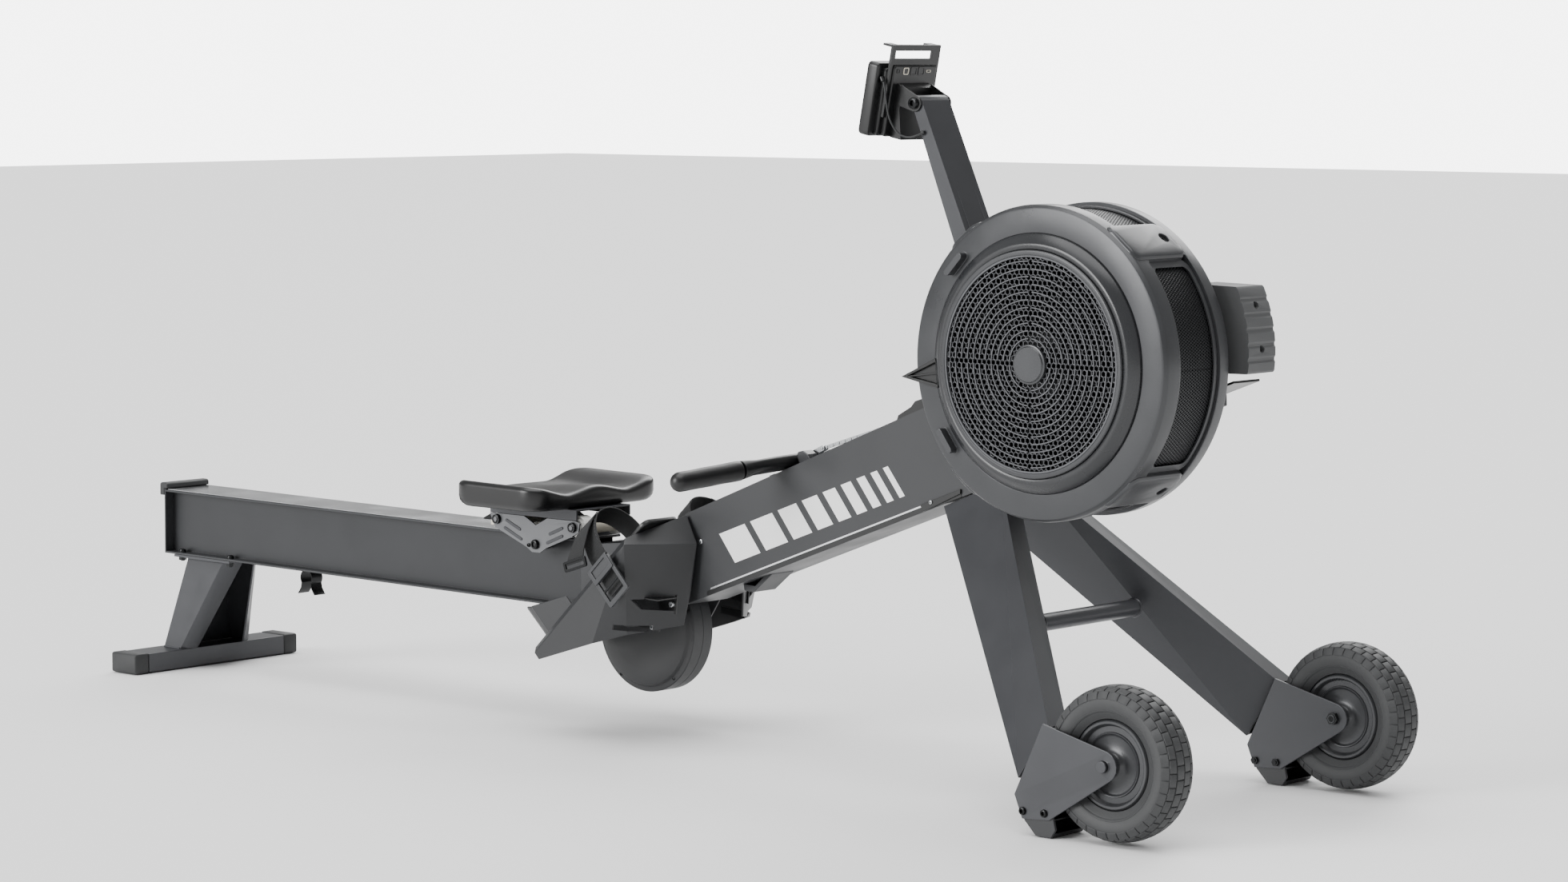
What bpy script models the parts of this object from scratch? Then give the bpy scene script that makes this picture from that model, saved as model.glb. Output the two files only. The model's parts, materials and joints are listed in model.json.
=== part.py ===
"""Air rowing machine: rail, rolling seat, recoil handle, side-mounted fan and wheeled front legs.

Frame: +X runs forward to the fan and the front wheels, +Y is the rower's left, +Z is up.
The origin is the bottom centre of the bounding box. Metres throughout.
"""
from math import atan, atan2, cos, hypot, pi, radians, sin

import bmesh
import bpy
from mathutils import Matrix, Vector

for leftover in list(bpy.data.objects):
    bpy.data.objects.remove(leftover, do_unlink=True)

# ---------------------------------------------------------------- driving dimensions
GAP = 0.0003                 # between pieces that touch
SHEET = 0.003                # wall of the folded and welded steel parts

RAIL_REAR_X = -1.214
RAIL_TOP_Z = 0.3156          # running surface at the rear end
RAIL_DROP = 0.0084           # fall per metre towards the front
RAIL_LENGTH = 1.049
RAIL_HALF = 0.04875
RAIL_HEIGHT = 0.1165
RAIL_FLANGE = 0.0038
RAIL_WEB_HALF = 0.030

FOOT_BAR_REAR = -1.196
FOOT_BAR_FRONT = -1.130
FOOT_HALF = 0.190            # half length of the rear foot bar

BEAM_HALF = 0.0495
BEAM_REAR_X = 0.072
BEAM_FRONT_TOP = (1.046, 0.7541)
BEAM_FRONT_BOTTOM = (1.054, 0.5863)

PLATE_ANGLE = radians(43.85)     # slope of the foot plates
HEEL = (-0.156, 0.140)           # lower end of the foot plates, x and z
FRAME_PLATE = 0.0034

DISC = (-0.040, 0.170)           # centre of the recoil housing, x and z
DISC_R = 0.106
DISC_HALF = 0.033
SPOOL_R = 0.055

HANDLE = (0.276, 0.4595)         # centre of the handle bar at rest, x and z
HANDLE_HALF = 0.240
GRIP_R = 0.0155

FAN = (0.9057, 0.6535)           # centre of the fan, x and z
FAN_R = 0.2269
FAN_BACK_Y = -0.0528
FAN_FRONT_Y = -0.2073
GRILLE_Y = -0.2253
GRILLE_R = 0.1552
SPROCKET_R = 0.0143
SHAFT_R = 0.0075
JOURNAL_R = 0.0060

WHEEL_X = 1.1155
WHEEL_Z = 0.1125
WHEEL_Y = 0.2813
WHEEL_R = 0.1105
PLATE_OUTER_Y = 0.3210
PLATE_INNER_Y = 0.2416
LEG_PLATE = 0.0030

SEAT_FRONT_X = -0.165
SEAT_REAR_X = -0.365
SEAT_HALF = 0.149
ROLLER_R = 0.0184
FRONT_ROLLER_X = -0.1655
REAR_ROLLER_X = -0.3410
GUIDE_ROLLER = (-0.251, 0.2915)

HINGE = (0.534, 1.0195)          # monitor hinge, x and z
MONITOR_LEAN = radians(11.2)

SMALL = 16                       # steps of rollers and bolts
ROUND = 24                       # steps of wheels and the fan shaft
LARGE = 40                       # steps of the fan housing


# ---------------------------------------------------------------- collections and materials
def new_collection(name):
    collection = bpy.data.collections.new(name)
    bpy.context.scene.collection.children.link(collection)
    return collection


PARTS = new_collection("rowing_machine")
CUTTERS = new_collection("cutters")


def material(name, colour, roughness, metallic):
    made = bpy.data.materials.new(name)
    made.use_nodes = True
    shader = made.node_tree.nodes["Principled BSDF"]
    shader.inputs["Base Color"].default_value = (*colour, 1.0)
    shader.inputs["Roughness"].default_value = roughness
    shader.inputs["Metallic"].default_value = metallic
    return made


COATED = material("black_powder_coat", (0.045, 0.046, 0.049), 0.5, 0.1)
GREY_COATED = material("grey_powder_coat", (0.115, 0.117, 0.122), 0.45, 0.2)
STAINLESS = material("stainless_track", (0.70, 0.70, 0.71), 0.25, 1.0)
STEEL = material("zinc_plated_steel", (0.42, 0.42, 0.43), 0.35, 1.0)
PLASTIC = material("black_plastic", (0.030, 0.030, 0.032), 0.45, 0.0)
GREY_PLASTIC = material("grey_plastic", (0.085, 0.087, 0.092), 0.5, 0.0)
RUBBER = material("black_rubber", (0.022, 0.022, 0.023), 0.7, 0.0)
CREAM = material("cream_nylon", (0.55, 0.52, 0.44), 0.5, 0.0)
FOAM = material("seat_foam", (0.020, 0.020, 0.021), 0.6, 0.0)
WEBBING = material("nylon_webbing", (0.030, 0.030, 0.032), 0.85, 0.0)


# ---------------------------------------------------------------- shape helpers
def as_object(name, mesh, coat, collection=PARTS):
    made = bpy.data.objects.new(name, mesh)
    collection.objects.link(made)
    mesh.materials.clear()
    if coat:
        mesh.materials.append(coat)
    return made


def shade(mesh, degrees=35):
    mesh.shade_smooth()
    mesh.set_sharp_from_angle(angle=radians(degrees))


def settle(item):
    """Replace an object by its evaluated, welded mesh, with its placing applied."""
    bpy.context.view_layer.update()
    source = item.evaluated_get(bpy.context.evaluated_depsgraph_get())
    mesh = bpy.data.meshes.new_from_object(source)
    mesh.transform(item.matrix_world)
    shape = bmesh.new()
    shape.from_mesh(mesh)
    bmesh.ops.remove_doubles(shape, verts=shape.verts, dist=0.000005)
    shape.to_mesh(mesh)
    shape.free()
    name = item.name
    coat = item.data.materials[0] if item.data.materials else None
    collection = item.users_collection[0]
    bpy.data.objects.remove(item, do_unlink=True)
    return as_object(name, mesh, coat, collection)


def box(name, low, high, coat, bevel=0.0):
    """A box between two corners, with rounded edges where bevel is given."""
    low, high = Vector(low), Vector(high)
    shape = bmesh.new()
    bmesh.ops.create_cube(shape, size=1.0)
    bmesh.ops.scale(shape, vec=high - low, verts=shape.verts)
    bmesh.ops.translate(shape, vec=(low + high) / 2, verts=shape.verts)
    mesh = bpy.data.meshes.new(name)
    shape.to_mesh(mesh)
    shape.free()
    made = as_object(name, mesh, coat)
    if bevel:
        rounding = made.modifiers.new("rounding", "BEVEL")
        rounding.width = bevel
        rounding.segments = 2
        rounding.limit_method = "ANGLE"
    return made


PLANES = {
    "XZ": Matrix(((1, 0, 0), (0, 0, -1), (0, 1, 0))).to_4x4(),
    "YZ": Matrix(((0, 0, 1), (1, 0, 0), (0, 1, 0))).to_4x4(),
    "XY": Matrix.Identity(4),
}


def prism(name, plane, outlines, low, high, coat):
    """A flat outline, with holes if more than one outline is given, swept from low to high
    along the plane's normal (+Y for XZ, +X for YZ, +Z for XY)."""
    curve = bpy.data.curves.new(name, "CURVE")
    curve.dimensions = "2D"
    curve.fill_mode = "BOTH"
    curve.extrude = (high - low) / 2
    for outline in outlines:
        spline = curve.splines.new("POLY")
        spline.points.add(len(outline) - 1)
        for point, (u, v) in zip(spline.points, outline):
            point.co = (u, v, 0.0, 1.0)
        spline.use_cyclic_u = True
    made = as_curve_object(name, curve, coat)
    middle = (low + high) / 2
    shift = {"XZ": (0, middle, 0), "YZ": (middle, 0, 0), "XY": (0, 0, middle)}[plane]
    made.matrix_world = Matrix.Translation(shift) @ PLANES[plane]
    return settle(made)


def as_curve_object(name, curve, coat):
    made = bpy.data.objects.new(name, curve)
    PARTS.objects.link(made)
    curve.materials.append(coat)
    return made


def tube(name, points, radius, coat, resolution=2):
    """A round bar along the points."""
    curve = bpy.data.curves.new(name, "CURVE")
    curve.dimensions = "3D"
    curve.bevel_depth = radius
    curve.bevel_resolution = resolution
    curve.use_fill_caps = True
    spline = curve.splines.new("POLY")
    spline.points.add(len(points) - 1)
    for point, spot in zip(spline.points, points):
        point.co = (*spot, 1.0)
    return as_curve_object(name, curve, coat)


def turned(name, profile, centre, coat, steps=ROUND, closed=True):
    """A shape turned about the Y axis through centre (x, z). The profile's points are
    (radius, y); they run down the outer side from the highest y to the lowest. An open
    profile starts and ends on the axis."""
    shape = bmesh.new()
    points = [shape.verts.new((radius, 0.0, height)) for radius, height in profile]
    for start, end in zip(points, points[1:]):
        shape.edges.new((start, end))
    if closed:
        shape.edges.new((points[-1], points[0]))
    mesh = bpy.data.meshes.new(name)
    shape.to_mesh(mesh)
    shape.free()
    made = as_object(name, mesh, coat)
    screw = made.modifiers.new("turn", "SCREW")
    screw.steps = steps
    screw.render_steps = steps
    screw.use_merge_vertices = True
    screw.merge_threshold = 0.00001
    made.rotation_euler = (-pi / 2, 0.0, 0.0)
    made.location = (centre[0], 0.0, centre[1])
    made = settle(made)
    shade(made.data)
    return made


def loft(name, rings, coat):
    """A closed skin through rings that hold the same number of points."""
    shape = bmesh.new()
    rows = [[shape.verts.new(point) for point in ring] for ring in rings]
    count = len(rows[0])
    for lower, upper in zip(rows, rows[1:]):
        for i in range(count):
            j = (i + 1) % count
            shape.faces.new((lower[i], lower[j], upper[j], upper[i]))
    shape.faces.new(list(reversed(rows[0])))
    shape.faces.new(rows[-1])
    bmesh.ops.recalc_face_normals(shape, faces=shape.faces)
    bmesh.ops.triangulate(shape, faces=shape.faces)
    mesh = bpy.data.meshes.new(name)
    shape.to_mesh(mesh)
    shape.free()
    return as_object(name, mesh, coat)


def boolean(target, other, operation):
    CUTTERS.objects.link(other)
    PARTS.objects.unlink(other)
    other.hide_render = True
    other.display_type = "WIRE"
    step = target.modifiers.new(operation.lower(), "BOOLEAN")
    step.operation = operation
    step.object = other
    return target


def join(target, *others):
    for other in others:
        boolean(target, other, "UNION")
    return target


def cut(target, *others):
    for other in others:
        boolean(target, other, "DIFFERENCE")
    return target


def mirrored(item, name):
    """The other hand of a settled piece, across the XZ plane."""
    mesh = item.data.copy()
    mesh.transform(Matrix.Scale(-1.0, 4, (0.0, 1.0, 0.0)))
    mesh.flip_normals()
    return as_object(name, mesh, item.data.materials[0])


def pair(item):
    """Settle the right-hand piece and add the left-hand one."""
    right = settle(item)
    mirrored(right, right.name.replace("_right", "_left"))
    return right


def arc(centre, radius, start, end, steps):
    """Points of an arc, from the start angle to the end angle in degrees."""
    turn = (radians(start) + radians(end - start) * i / steps for i in range(steps + 1))
    return [(centre[0] + radius * cos(a), centre[1] + radius * sin(a)) for a in turn]


def circle(centre, radius, steps=ROUND):
    return arc(centre, radius, 0, 360, steps)[:-1]


def rectangle(low, high):
    return [(low[0], low[1]), (high[0], low[1]), (high[0], high[1]), (low[0], high[1])]


def thicken(path, wall):
    """The closed outline of a bent strip: the path and its copy offset to its left by wall."""
    path = [Vector(point) for point in path]
    offset = []
    for i, point in enumerate(path):
        before = (point - path[i - 1]).normalized() if i else None
        after = (path[i + 1] - point).normalized() if i + 1 < len(path) else None
        first, second = before or after, after or before
        normal = Vector((-first.y - second.y, first.x + second.x)).normalized()
        lean = normal.dot(Vector((-first.y, first.x)))
        offset.append(point + normal * wall / lean)
    return [tuple(point) for point in path] + [tuple(point) for point in reversed(offset)]


def place(item, matrix):
    """Move a piece made in a local frame, with what is joined to it, to its world place."""
    item.matrix_world = matrix @ item.matrix_world
    for step in item.modifiers:
        if step.type == "BOOLEAN":
            step.object.matrix_world = matrix @ step.object.matrix_world
    return item


def frame_at(x, z, pitch):
    """A frame at x, z whose local X axis rises by pitch towards world +X."""
    return Matrix.Translation((x, 0.0, z)) @ Matrix.Rotation(-pitch, 4, "Y")


RAIL_FRAME = frame_at(RAIL_REAR_X, RAIL_TOP_Z, -atan(RAIL_DROP))
PLATE_FRAME = frame_at(HEEL[0], HEEL[1], PLATE_ANGLE)


def beam_top(x):
    return 0.379 + 0.4003 * (x - 0.109)


def beam_bottom(x):
    return 0.436 + 0.3747 * (x - 0.653)


BEAM_PITCH = atan(0.4003)


def roller_z(x):
    """Axle height of an upper roller that runs just clear of the track."""
    return RAIL_TOP_Z - RAIL_DROP * (x - RAIL_REAR_X) + ROLLER_R + GAP


# ---------------------------------------------------------------- rail and rear stand
def build_rail():
    top = -0.0015
    base = -RAIL_HEIGHT
    half, web, lip = RAIL_HALF, RAIL_WEB_HALF, RAIL_FLANGE
    right = [(-half, base), (-half, base + lip), (-web, base + lip),
             (-web, top - lip), (-half, top - lip), (-half, top)]
    left = [(-y, z) for y, z in reversed(right)]
    hollow = rectangle((SHEET - web, base + lip), (web - SHEET, top - lip))
    rail = prism("rail", "YZ", [right + left, hollow], 0.0033, RAIL_LENGTH, GREY_COATED)
    place(rail, RAIL_FRAME)

    track = box("rail_track", (0.009, -0.0475, -0.0012), (RAIL_LENGTH, 0.0475, 0.0), STAINLESS)
    place(track, RAIL_FRAME)

    end = box("rail_end_plate", (0.0, -half, base), (0.003, half, -GAP), GREY_COATED)
    place(end, RAIL_FRAME)

    hood = [(-0.012, -0.012), (-GAP, -0.012), (-GAP, GAP), (0.008, GAP), (0.008, 0.008),
            (0.004, 0.011), (-0.009, 0.011), (-0.012, 0.008)]
    bumper = prism("rail_bumper", "XZ", [hood], -0.0495, 0.0495, RUBBER)
    place(bumper, RAIL_FRAME)


def leg_section(z):
    """The folded sheet of the rear leg in plan: open towards the front, with two returns."""
    rise = (z - 0.036) / (0.190 - 0.036)
    half = 0.079 - 0.039 * rise
    rear = -1.183 + 0.021 * rise
    ridge = -1.138 + 0.070 * rise
    edge = -1.121 + 0.078 * rise
    path = [(edge, half - 0.025), (ridge, half), (rear, half),
            (rear, -half), (ridge, -half), (edge, 0.025 - half)]
    return [(x, y, z) for x, y in thicken(path, SHEET)]


def build_rear_stand():
    leg = loft("rear_leg", [leg_section(0.0348), leg_section(0.1955)], GREY_COATED)
    plate = box("rear_leg_plate", (0.026, -0.0487, -0.1208), (0.176, 0.0487, -0.1168), GREY_COATED)
    join(leg, place(plate, RAIL_FRAME))

    low, high = (FOOT_BAR_REAR, 0.0015), (FOOT_BAR_FRONT, 0.0345)
    inner = rectangle((low[0] + SHEET, low[1] + SHEET), (high[0] - SHEET, high[1] - SHEET))
    prism("rear_foot_bar", "XZ", [rectangle(low, high), inner], -0.158, 0.158, GREY_COATED)
    for side, sign in (("right", -1), ("left", 1)):
        ends = sorted((sign * 0.1583, sign * FOOT_HALF))
        box(f"rear_foot_cap_{side}", (FOOT_BAR_REAR - 0.001, ends[0], 0.0),
            (FOOT_BAR_FRONT + 0.001, ends[1], 0.036), RUBBER, bevel=0.004)


def build_storage_clip():
    plate = box("storage_clip", (0.286, -0.025, -0.1198), (0.389, 0.025, -0.1168), GREY_COATED)
    plate = settle(place(plate, RAIL_FRAME))
    centre = (-0.875, 0.1782)
    bow = arc(centre, 0.0136, -40, 220, 14)
    lips = [(centre[0] + 0.020, 0.1500), (centre[0] + 0.0125, 0.1600)]
    other = [(2 * centre[0] - x, z) for x, z in reversed(lips)]
    spring = prism("clip_spring", "XZ", [thicken(lips + bow + other, -0.0016)],
                   -0.0125, 0.0125, STEEL)
    join(plate, spring)


# ---------------------------------------------------------------- seat and carriage
def build_seat():
    pad = box("seat_pad", (SEAT_REAR_X, -SEAT_HALF, 0.3550), (SEAT_FRONT_X, SEAT_HALF, 0.3965), FOAM)
    outline = [(-0.130, 0.4200), (-0.130, 0.3980), (-0.060, 0.3810), (0.060, 0.3810), (0.130, 0.3980), (0.130, 0.4200)]
    trough = prism("seat_trough", "YZ", [outline], SEAT_REAR_X - 0.01, SEAT_FRONT_X + 0.01, FOAM)
    cut(pad, trough)
    corners = pad.modifiers.new("corners", "BEVEL")
    corners.width = 0.008
    corners.segments = 2
    corners.limit_method = "ANGLE"
    corners.angle_limit = radians(60)

    pan = [(-0.0635, 0.3370), (-0.0604, 0.3370), (-0.0604, 0.3517), (0.0604, 0.3517),
           (0.0604, 0.3370), (0.0635, 0.3370), (0.0635, 0.3547), (-0.0635, 0.3547)]
    prism("seat_pan", "YZ", [pan], -0.358, -0.157, GREY_COATED)


def build_carriage():
    outline = [(-0.359, 0.3365), (-0.346, 0.3130), (-0.274, 0.2860), (-0.2600, 0.2780),
               (-0.2420, 0.2780), (-0.2270, 0.2870), (-0.1700, 0.3090), (-0.1530, 0.3180),
               (-0.1500, 0.3330), (-0.1600, 0.3365), (-0.2245, 0.3365), (-0.251, 0.3230),
               (-0.278, 0.3365)]
    right = prism("carriage_plate_right", "XZ", [outline], -0.0635, -0.0604, GREY_COATED)
    right = cut(right, turned("stud_hole", [(0.0, 0.07), (0.0046, 0.07), (0.0046, -0.07),
                                            (0.0, -0.07)], GUIDE_ROLLER, STEEL, steps=SMALL,
                                closed=False))
    right = settle(right)
    mirrored(right, "carriage_plate_left")
    bolt = [(0.0, 0.0601), (0.0045, 0.0601), (0.0045, -0.0620), (0.0080, -0.0620),
            (0.0080, -0.0690), (0.0, -0.0690)]
    for name, x in (("axle_front", FRONT_ROLLER_X), ("axle_rear", REAR_ROLLER_X)):
        join(right, turned(name, bolt, (x, roller_z(x)), STEEL, steps=SMALL, closed=False))


def build_rollers():
    wheel_to_wheel = [(0.0046, 0.0590), (0.0090, 0.0590), (0.0090, 0.0530), (ROLLER_R, 0.0520),
                      (ROLLER_R, 0.0300), (0.0129, 0.0290)]
    profile = wheel_to_wheel + [(r, -y) for r, y in reversed(wheel_to_wheel)]
    for name, x in (("roller_front", FRONT_ROLLER_X), ("roller_rear", REAR_ROLLER_X)):
        turned(name, profile, (x, roller_z(x)), CREAM, steps=SMALL)

    profile = [(0.0, -0.0335), (0.0085, -0.0335), (0.0100, -0.0350), (0.0100, -0.0470),
               (0.0070, -0.0480), (0.0070, -0.0601), (0.0045, -0.0601), (0.0045, -0.0670),
               (0.0, -0.0670)]
    guide = turned("guide_roller_right", profile, GUIDE_ROLLER, PLASTIC, steps=SMALL, closed=False)
    pair(guide)


# ---------------------------------------------------------------- main beam and coupling
def build_beam():
    rear, front_top, front_bottom = BEAM_REAR_X, BEAM_FRONT_TOP, BEAM_FRONT_BOTTOM
    outline = [(rear, beam_bottom(rear)), front_bottom, front_top, (rear, beam_top(rear))]
    beam = prism("main_beam", "XZ", [outline], -BEAM_HALF, BEAM_HALF, COATED)
    back = rear - 0.02
    inside = [(back, beam_bottom(back) + SHEET), (front_bottom[0] - SHEET, front_bottom[1] + SHEET),
              (front_top[0] - SHEET, front_top[1] - SHEET), (back, beam_top(back) - SHEET)]
    hollow = prism("beam_hollow", "XZ", [inside], SHEET - BEAM_HALF, BEAM_HALF - SHEET, COATED)
    slot = box("chain_slot", (0.486, -0.008, 0.50), (0.640, 0.008, 0.62), COATED)
    shaft_way = turned("shaft_way", [(0.0, -0.040), (0.0120, -0.040), (0.0120, -0.060),
                                     (0.0, -0.060)], FAN, COATED, closed=False)
    cut(beam, hollow, slot, shaft_way)
    boss = [(0.0061, 0.0475), (0.0180, 0.0475), (0.0180, 0.0300), (0.0061, 0.0300)]
    join(beam, turned("shaft_boss", boss, FAN, COATED))

    ribs = 6
    face = []
    for i in range(ribs):
        for step, depth in ((0.08, 0.0), (0.22, 0.0018), (0.78, 0.0018), (0.92, 0.0)):
            t = (i + step) / ribs
            bow = 0.010 * (1 - (2 * t - 1) ** 2)
            face.append((1.1452 - 0.0210 * t + bow + depth, 0.6390 + 0.1270 * t))
    back_line = [(1.0459, 0.7660), (1.0520, 0.6390)]
    prism("front_bumper", "XZ", [back_line + face], -0.0325, 0.0325, RUBBER)


def build_foot_frame():
    """Two side plates that carry the beam, the footrests and the recoil housing, and the
    block that slides into the rail."""
    inner = 0.0462 - FRAME_PLATE
    outline = [(-0.1500, 0.2050), (-0.1400, 0.1850), (-0.0600, 0.1700), (0.0400, 0.1850),
               (0.0720, 0.2320), (0.1250, 0.2480), (0.1250, 0.3760), (0.0700, 0.3550),
               (0.0000, 0.3150), (-0.1645, 0.2960), (-0.1645, 0.2050)]
    right = prism("foot_frame", "XZ", [outline], -0.0462, -inner, COATED)
    left = prism("foot_frame_left", "XZ", [outline], inner, 0.0462, COATED)
    block = box("coupling_block", (-0.1645, -0.0450, 0.2050), (-0.1500, 0.0450, 0.2960), COATED)
    tongue = box("coupling_tongue", (-0.2100, -0.0266, 0.2020), (-0.1600, 0.0266, 0.2940), COATED)
    join(right, left, block, tongue)


def build_recoil():
    rim = DISC_R
    outer = [(0.0, -DISC_HALF), (0.070, -DISC_HALF), (0.094, -0.0300), (rim, -0.0230), (rim, -GAP / 2)]
    inner = [(rim - 0.0025, -GAP / 2), (rim - 0.0025, -0.0215), (0.093, -0.0275), (0.070, -0.0305),
             (0.0120, -0.0305), (0.0120, -0.0240), (0.0061, -0.0240), (0.0061, -0.0300), (0.0, -0.0300)]
    profile = list(reversed(inner)) + list(reversed(outer))
    cover = turned("recoil_cover_right", profile, DISC, PLASTIC, steps=32, closed=False)
    start = recoil_entry(0.075)
    end = recoil_entry(0.125)
    cut(cover, settle(tube("chain_notch", [start, end], 0.0060, PLASTIC)))
    pair(cover)

    spool = [(0.0, 0.0296), (0.0060, 0.0296), (0.0060, 0.0180), (0.0800, 0.0180), (0.0800, 0.0150),
             (SPOOL_R - 0.004, 0.0130), (SPOOL_R - 0.004, -0.0130), (0.0800, -0.0150),
             (0.0800, -0.0180), (0.0060, -0.0180), (0.0060, -0.0296), (0.0, -0.0296)]
    turned("recoil_spool", spool, DISC, PLASTIC, closed=False)


def chain_return():
    """Ends of the lower chain run: where it leaves the sprocket and where it meets the spool."""
    across = hypot(FAN[0] - DISC[0], FAN[1] - DISC[1])
    slope = atan2(FAN[1] - DISC[1], FAN[0] - DISC[0]) - atan((SPROCKET_R + SPOOL_R) / across)
    normal = (-sin(slope), cos(slope))
    start = (FAN[0] - SPROCKET_R * normal[0], FAN[1] - SPROCKET_R * normal[1])
    end = (DISC[0] + SPOOL_R * normal[0], DISC[1] + SPOOL_R * normal[1])
    return start, end, slope


def recoil_entry(distance):
    """The point of the lower chain run at a distance from the middle of the recoil housing."""
    start, end, slope = chain_return()
    along = (distance ** 2 - SPOOL_R ** 2) ** 0.5
    return end[0] + along * cos(slope), 0.0, end[1] + along * sin(slope)


# ---------------------------------------------------------------- chain and handle
def build_chain():
    lead_in = (HANDLE[0] + 0.0480, HANDLE[1] + 0.0230)
    guide = (0.5300, 0.5476)
    slope = atan2(FAN[1] + SPROCKET_R - guide[1], FAN[0] - guide[0])
    start, end, lower = chain_return()
    route = [lead_in, guide]
    first, last = 90 + slope * 180 / pi, -90 + lower * 180 / pi
    route += arc(FAN, SPROCKET_R, first, last, 8)
    route += [recoil_entry(SPOOL_R + 0.004)[::2]]
    tube("chain", [(x, 0.0, z) for x, z in route], 0.0026, STEEL)

    block = [(0.4840, beam_top(0.4840) + GAP), (0.5560, beam_top(0.5560) + GAP),
             (0.5560, beam_top(0.5560) + 0.020), (0.5200, beam_top(0.5200) + 0.022),
             (0.4900, beam_top(0.4900) + 0.014)]
    guard = prism("chain_guide", "XZ", [block], -0.020, 0.020, PLASTIC)
    cut(guard, box("guide_slot", (0.40, -0.0060, 0.40), (0.64, 0.0060, 0.5640), PLASTIC))


def build_handle():
    frame = frame_at(HANDLE[0], HANDLE[1], BEAM_PITCH)
    bend = 0.0580
    station = [(-0.1150, -0.0205), (-0.0700, -0.0060), (-0.0300, 0.0), (0.0300, 0.0),
               (0.0700, -0.0060), (0.1150, -0.0205)]
    rings = []
    for y, x in station:
        deep, high = (0.0140, 0.0130) if abs(y) > 0.1 else (0.0170, 0.0120)
        rings.append([(x - deep, y, -high * 0.6), (x - deep * 0.6, y, -high), (x + deep * 0.6, y, -high),
                      (x + deep, y, -high * 0.6), (x + deep, y, high * 0.6), (x + deep * 0.6, y, high),
                      (x - deep * 0.6, y, high), (x - deep, y, high * 0.6)])
    bar = loft("handle_bar", rings, PLASTIC)
    clevis = box("chain_connector", (0.0100, -0.0060, -0.0050), (0.0500, 0.0060, 0.0070), STEEL)
    bar = settle(place(join(bar, clevis), frame))
    start = (-0.0222, 0.1205)
    lean = atan2(bend + start[0], HANDLE_HALF - start[1])
    length = hypot(bend + start[0], HANDLE_HALF - start[1]) - GRIP_R

    def on_axis(sign, t):
        return start[0] - t * sin(lean), sign * (start[1] + t * cos(lean)), 0.0

    for sign in (-1, 1):
        core = tube(f"handle_core_{sign}", [on_axis(sign, -0.015), on_axis(sign, length - 0.004)],
                    0.0090, STEEL)
        join(bar, settle(place(settle(core), frame)))

    end = [(GRIP_R * cos(a), -length - GRIP_R * sin(a)) for a in (0, pi / 8, pi / 4, 3 * pi / 8)]
    profile = [(0.0, 0.0), (GRIP_R, 0.0)] + end + [(0.0, -length - GRIP_R)]
    sleeve = turned("grip_right", profile, (0.0, 0.0), RUBBER, steps=20, closed=False)
    sleeve.matrix_world = (frame @ Matrix.Translation(on_axis(-1, 0.0))
                           @ Matrix.Rotation(-lean, 4, "Z"))
    sleeve = settle(sleeve)
    bore = tube("grip_bore", [on_axis(-1, -0.020), on_axis(-1, length - 0.0035)], 0.0095, RUBBER)
    cut(sleeve, settle(place(settle(bore), frame)))
    pair(sleeve)


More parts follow.
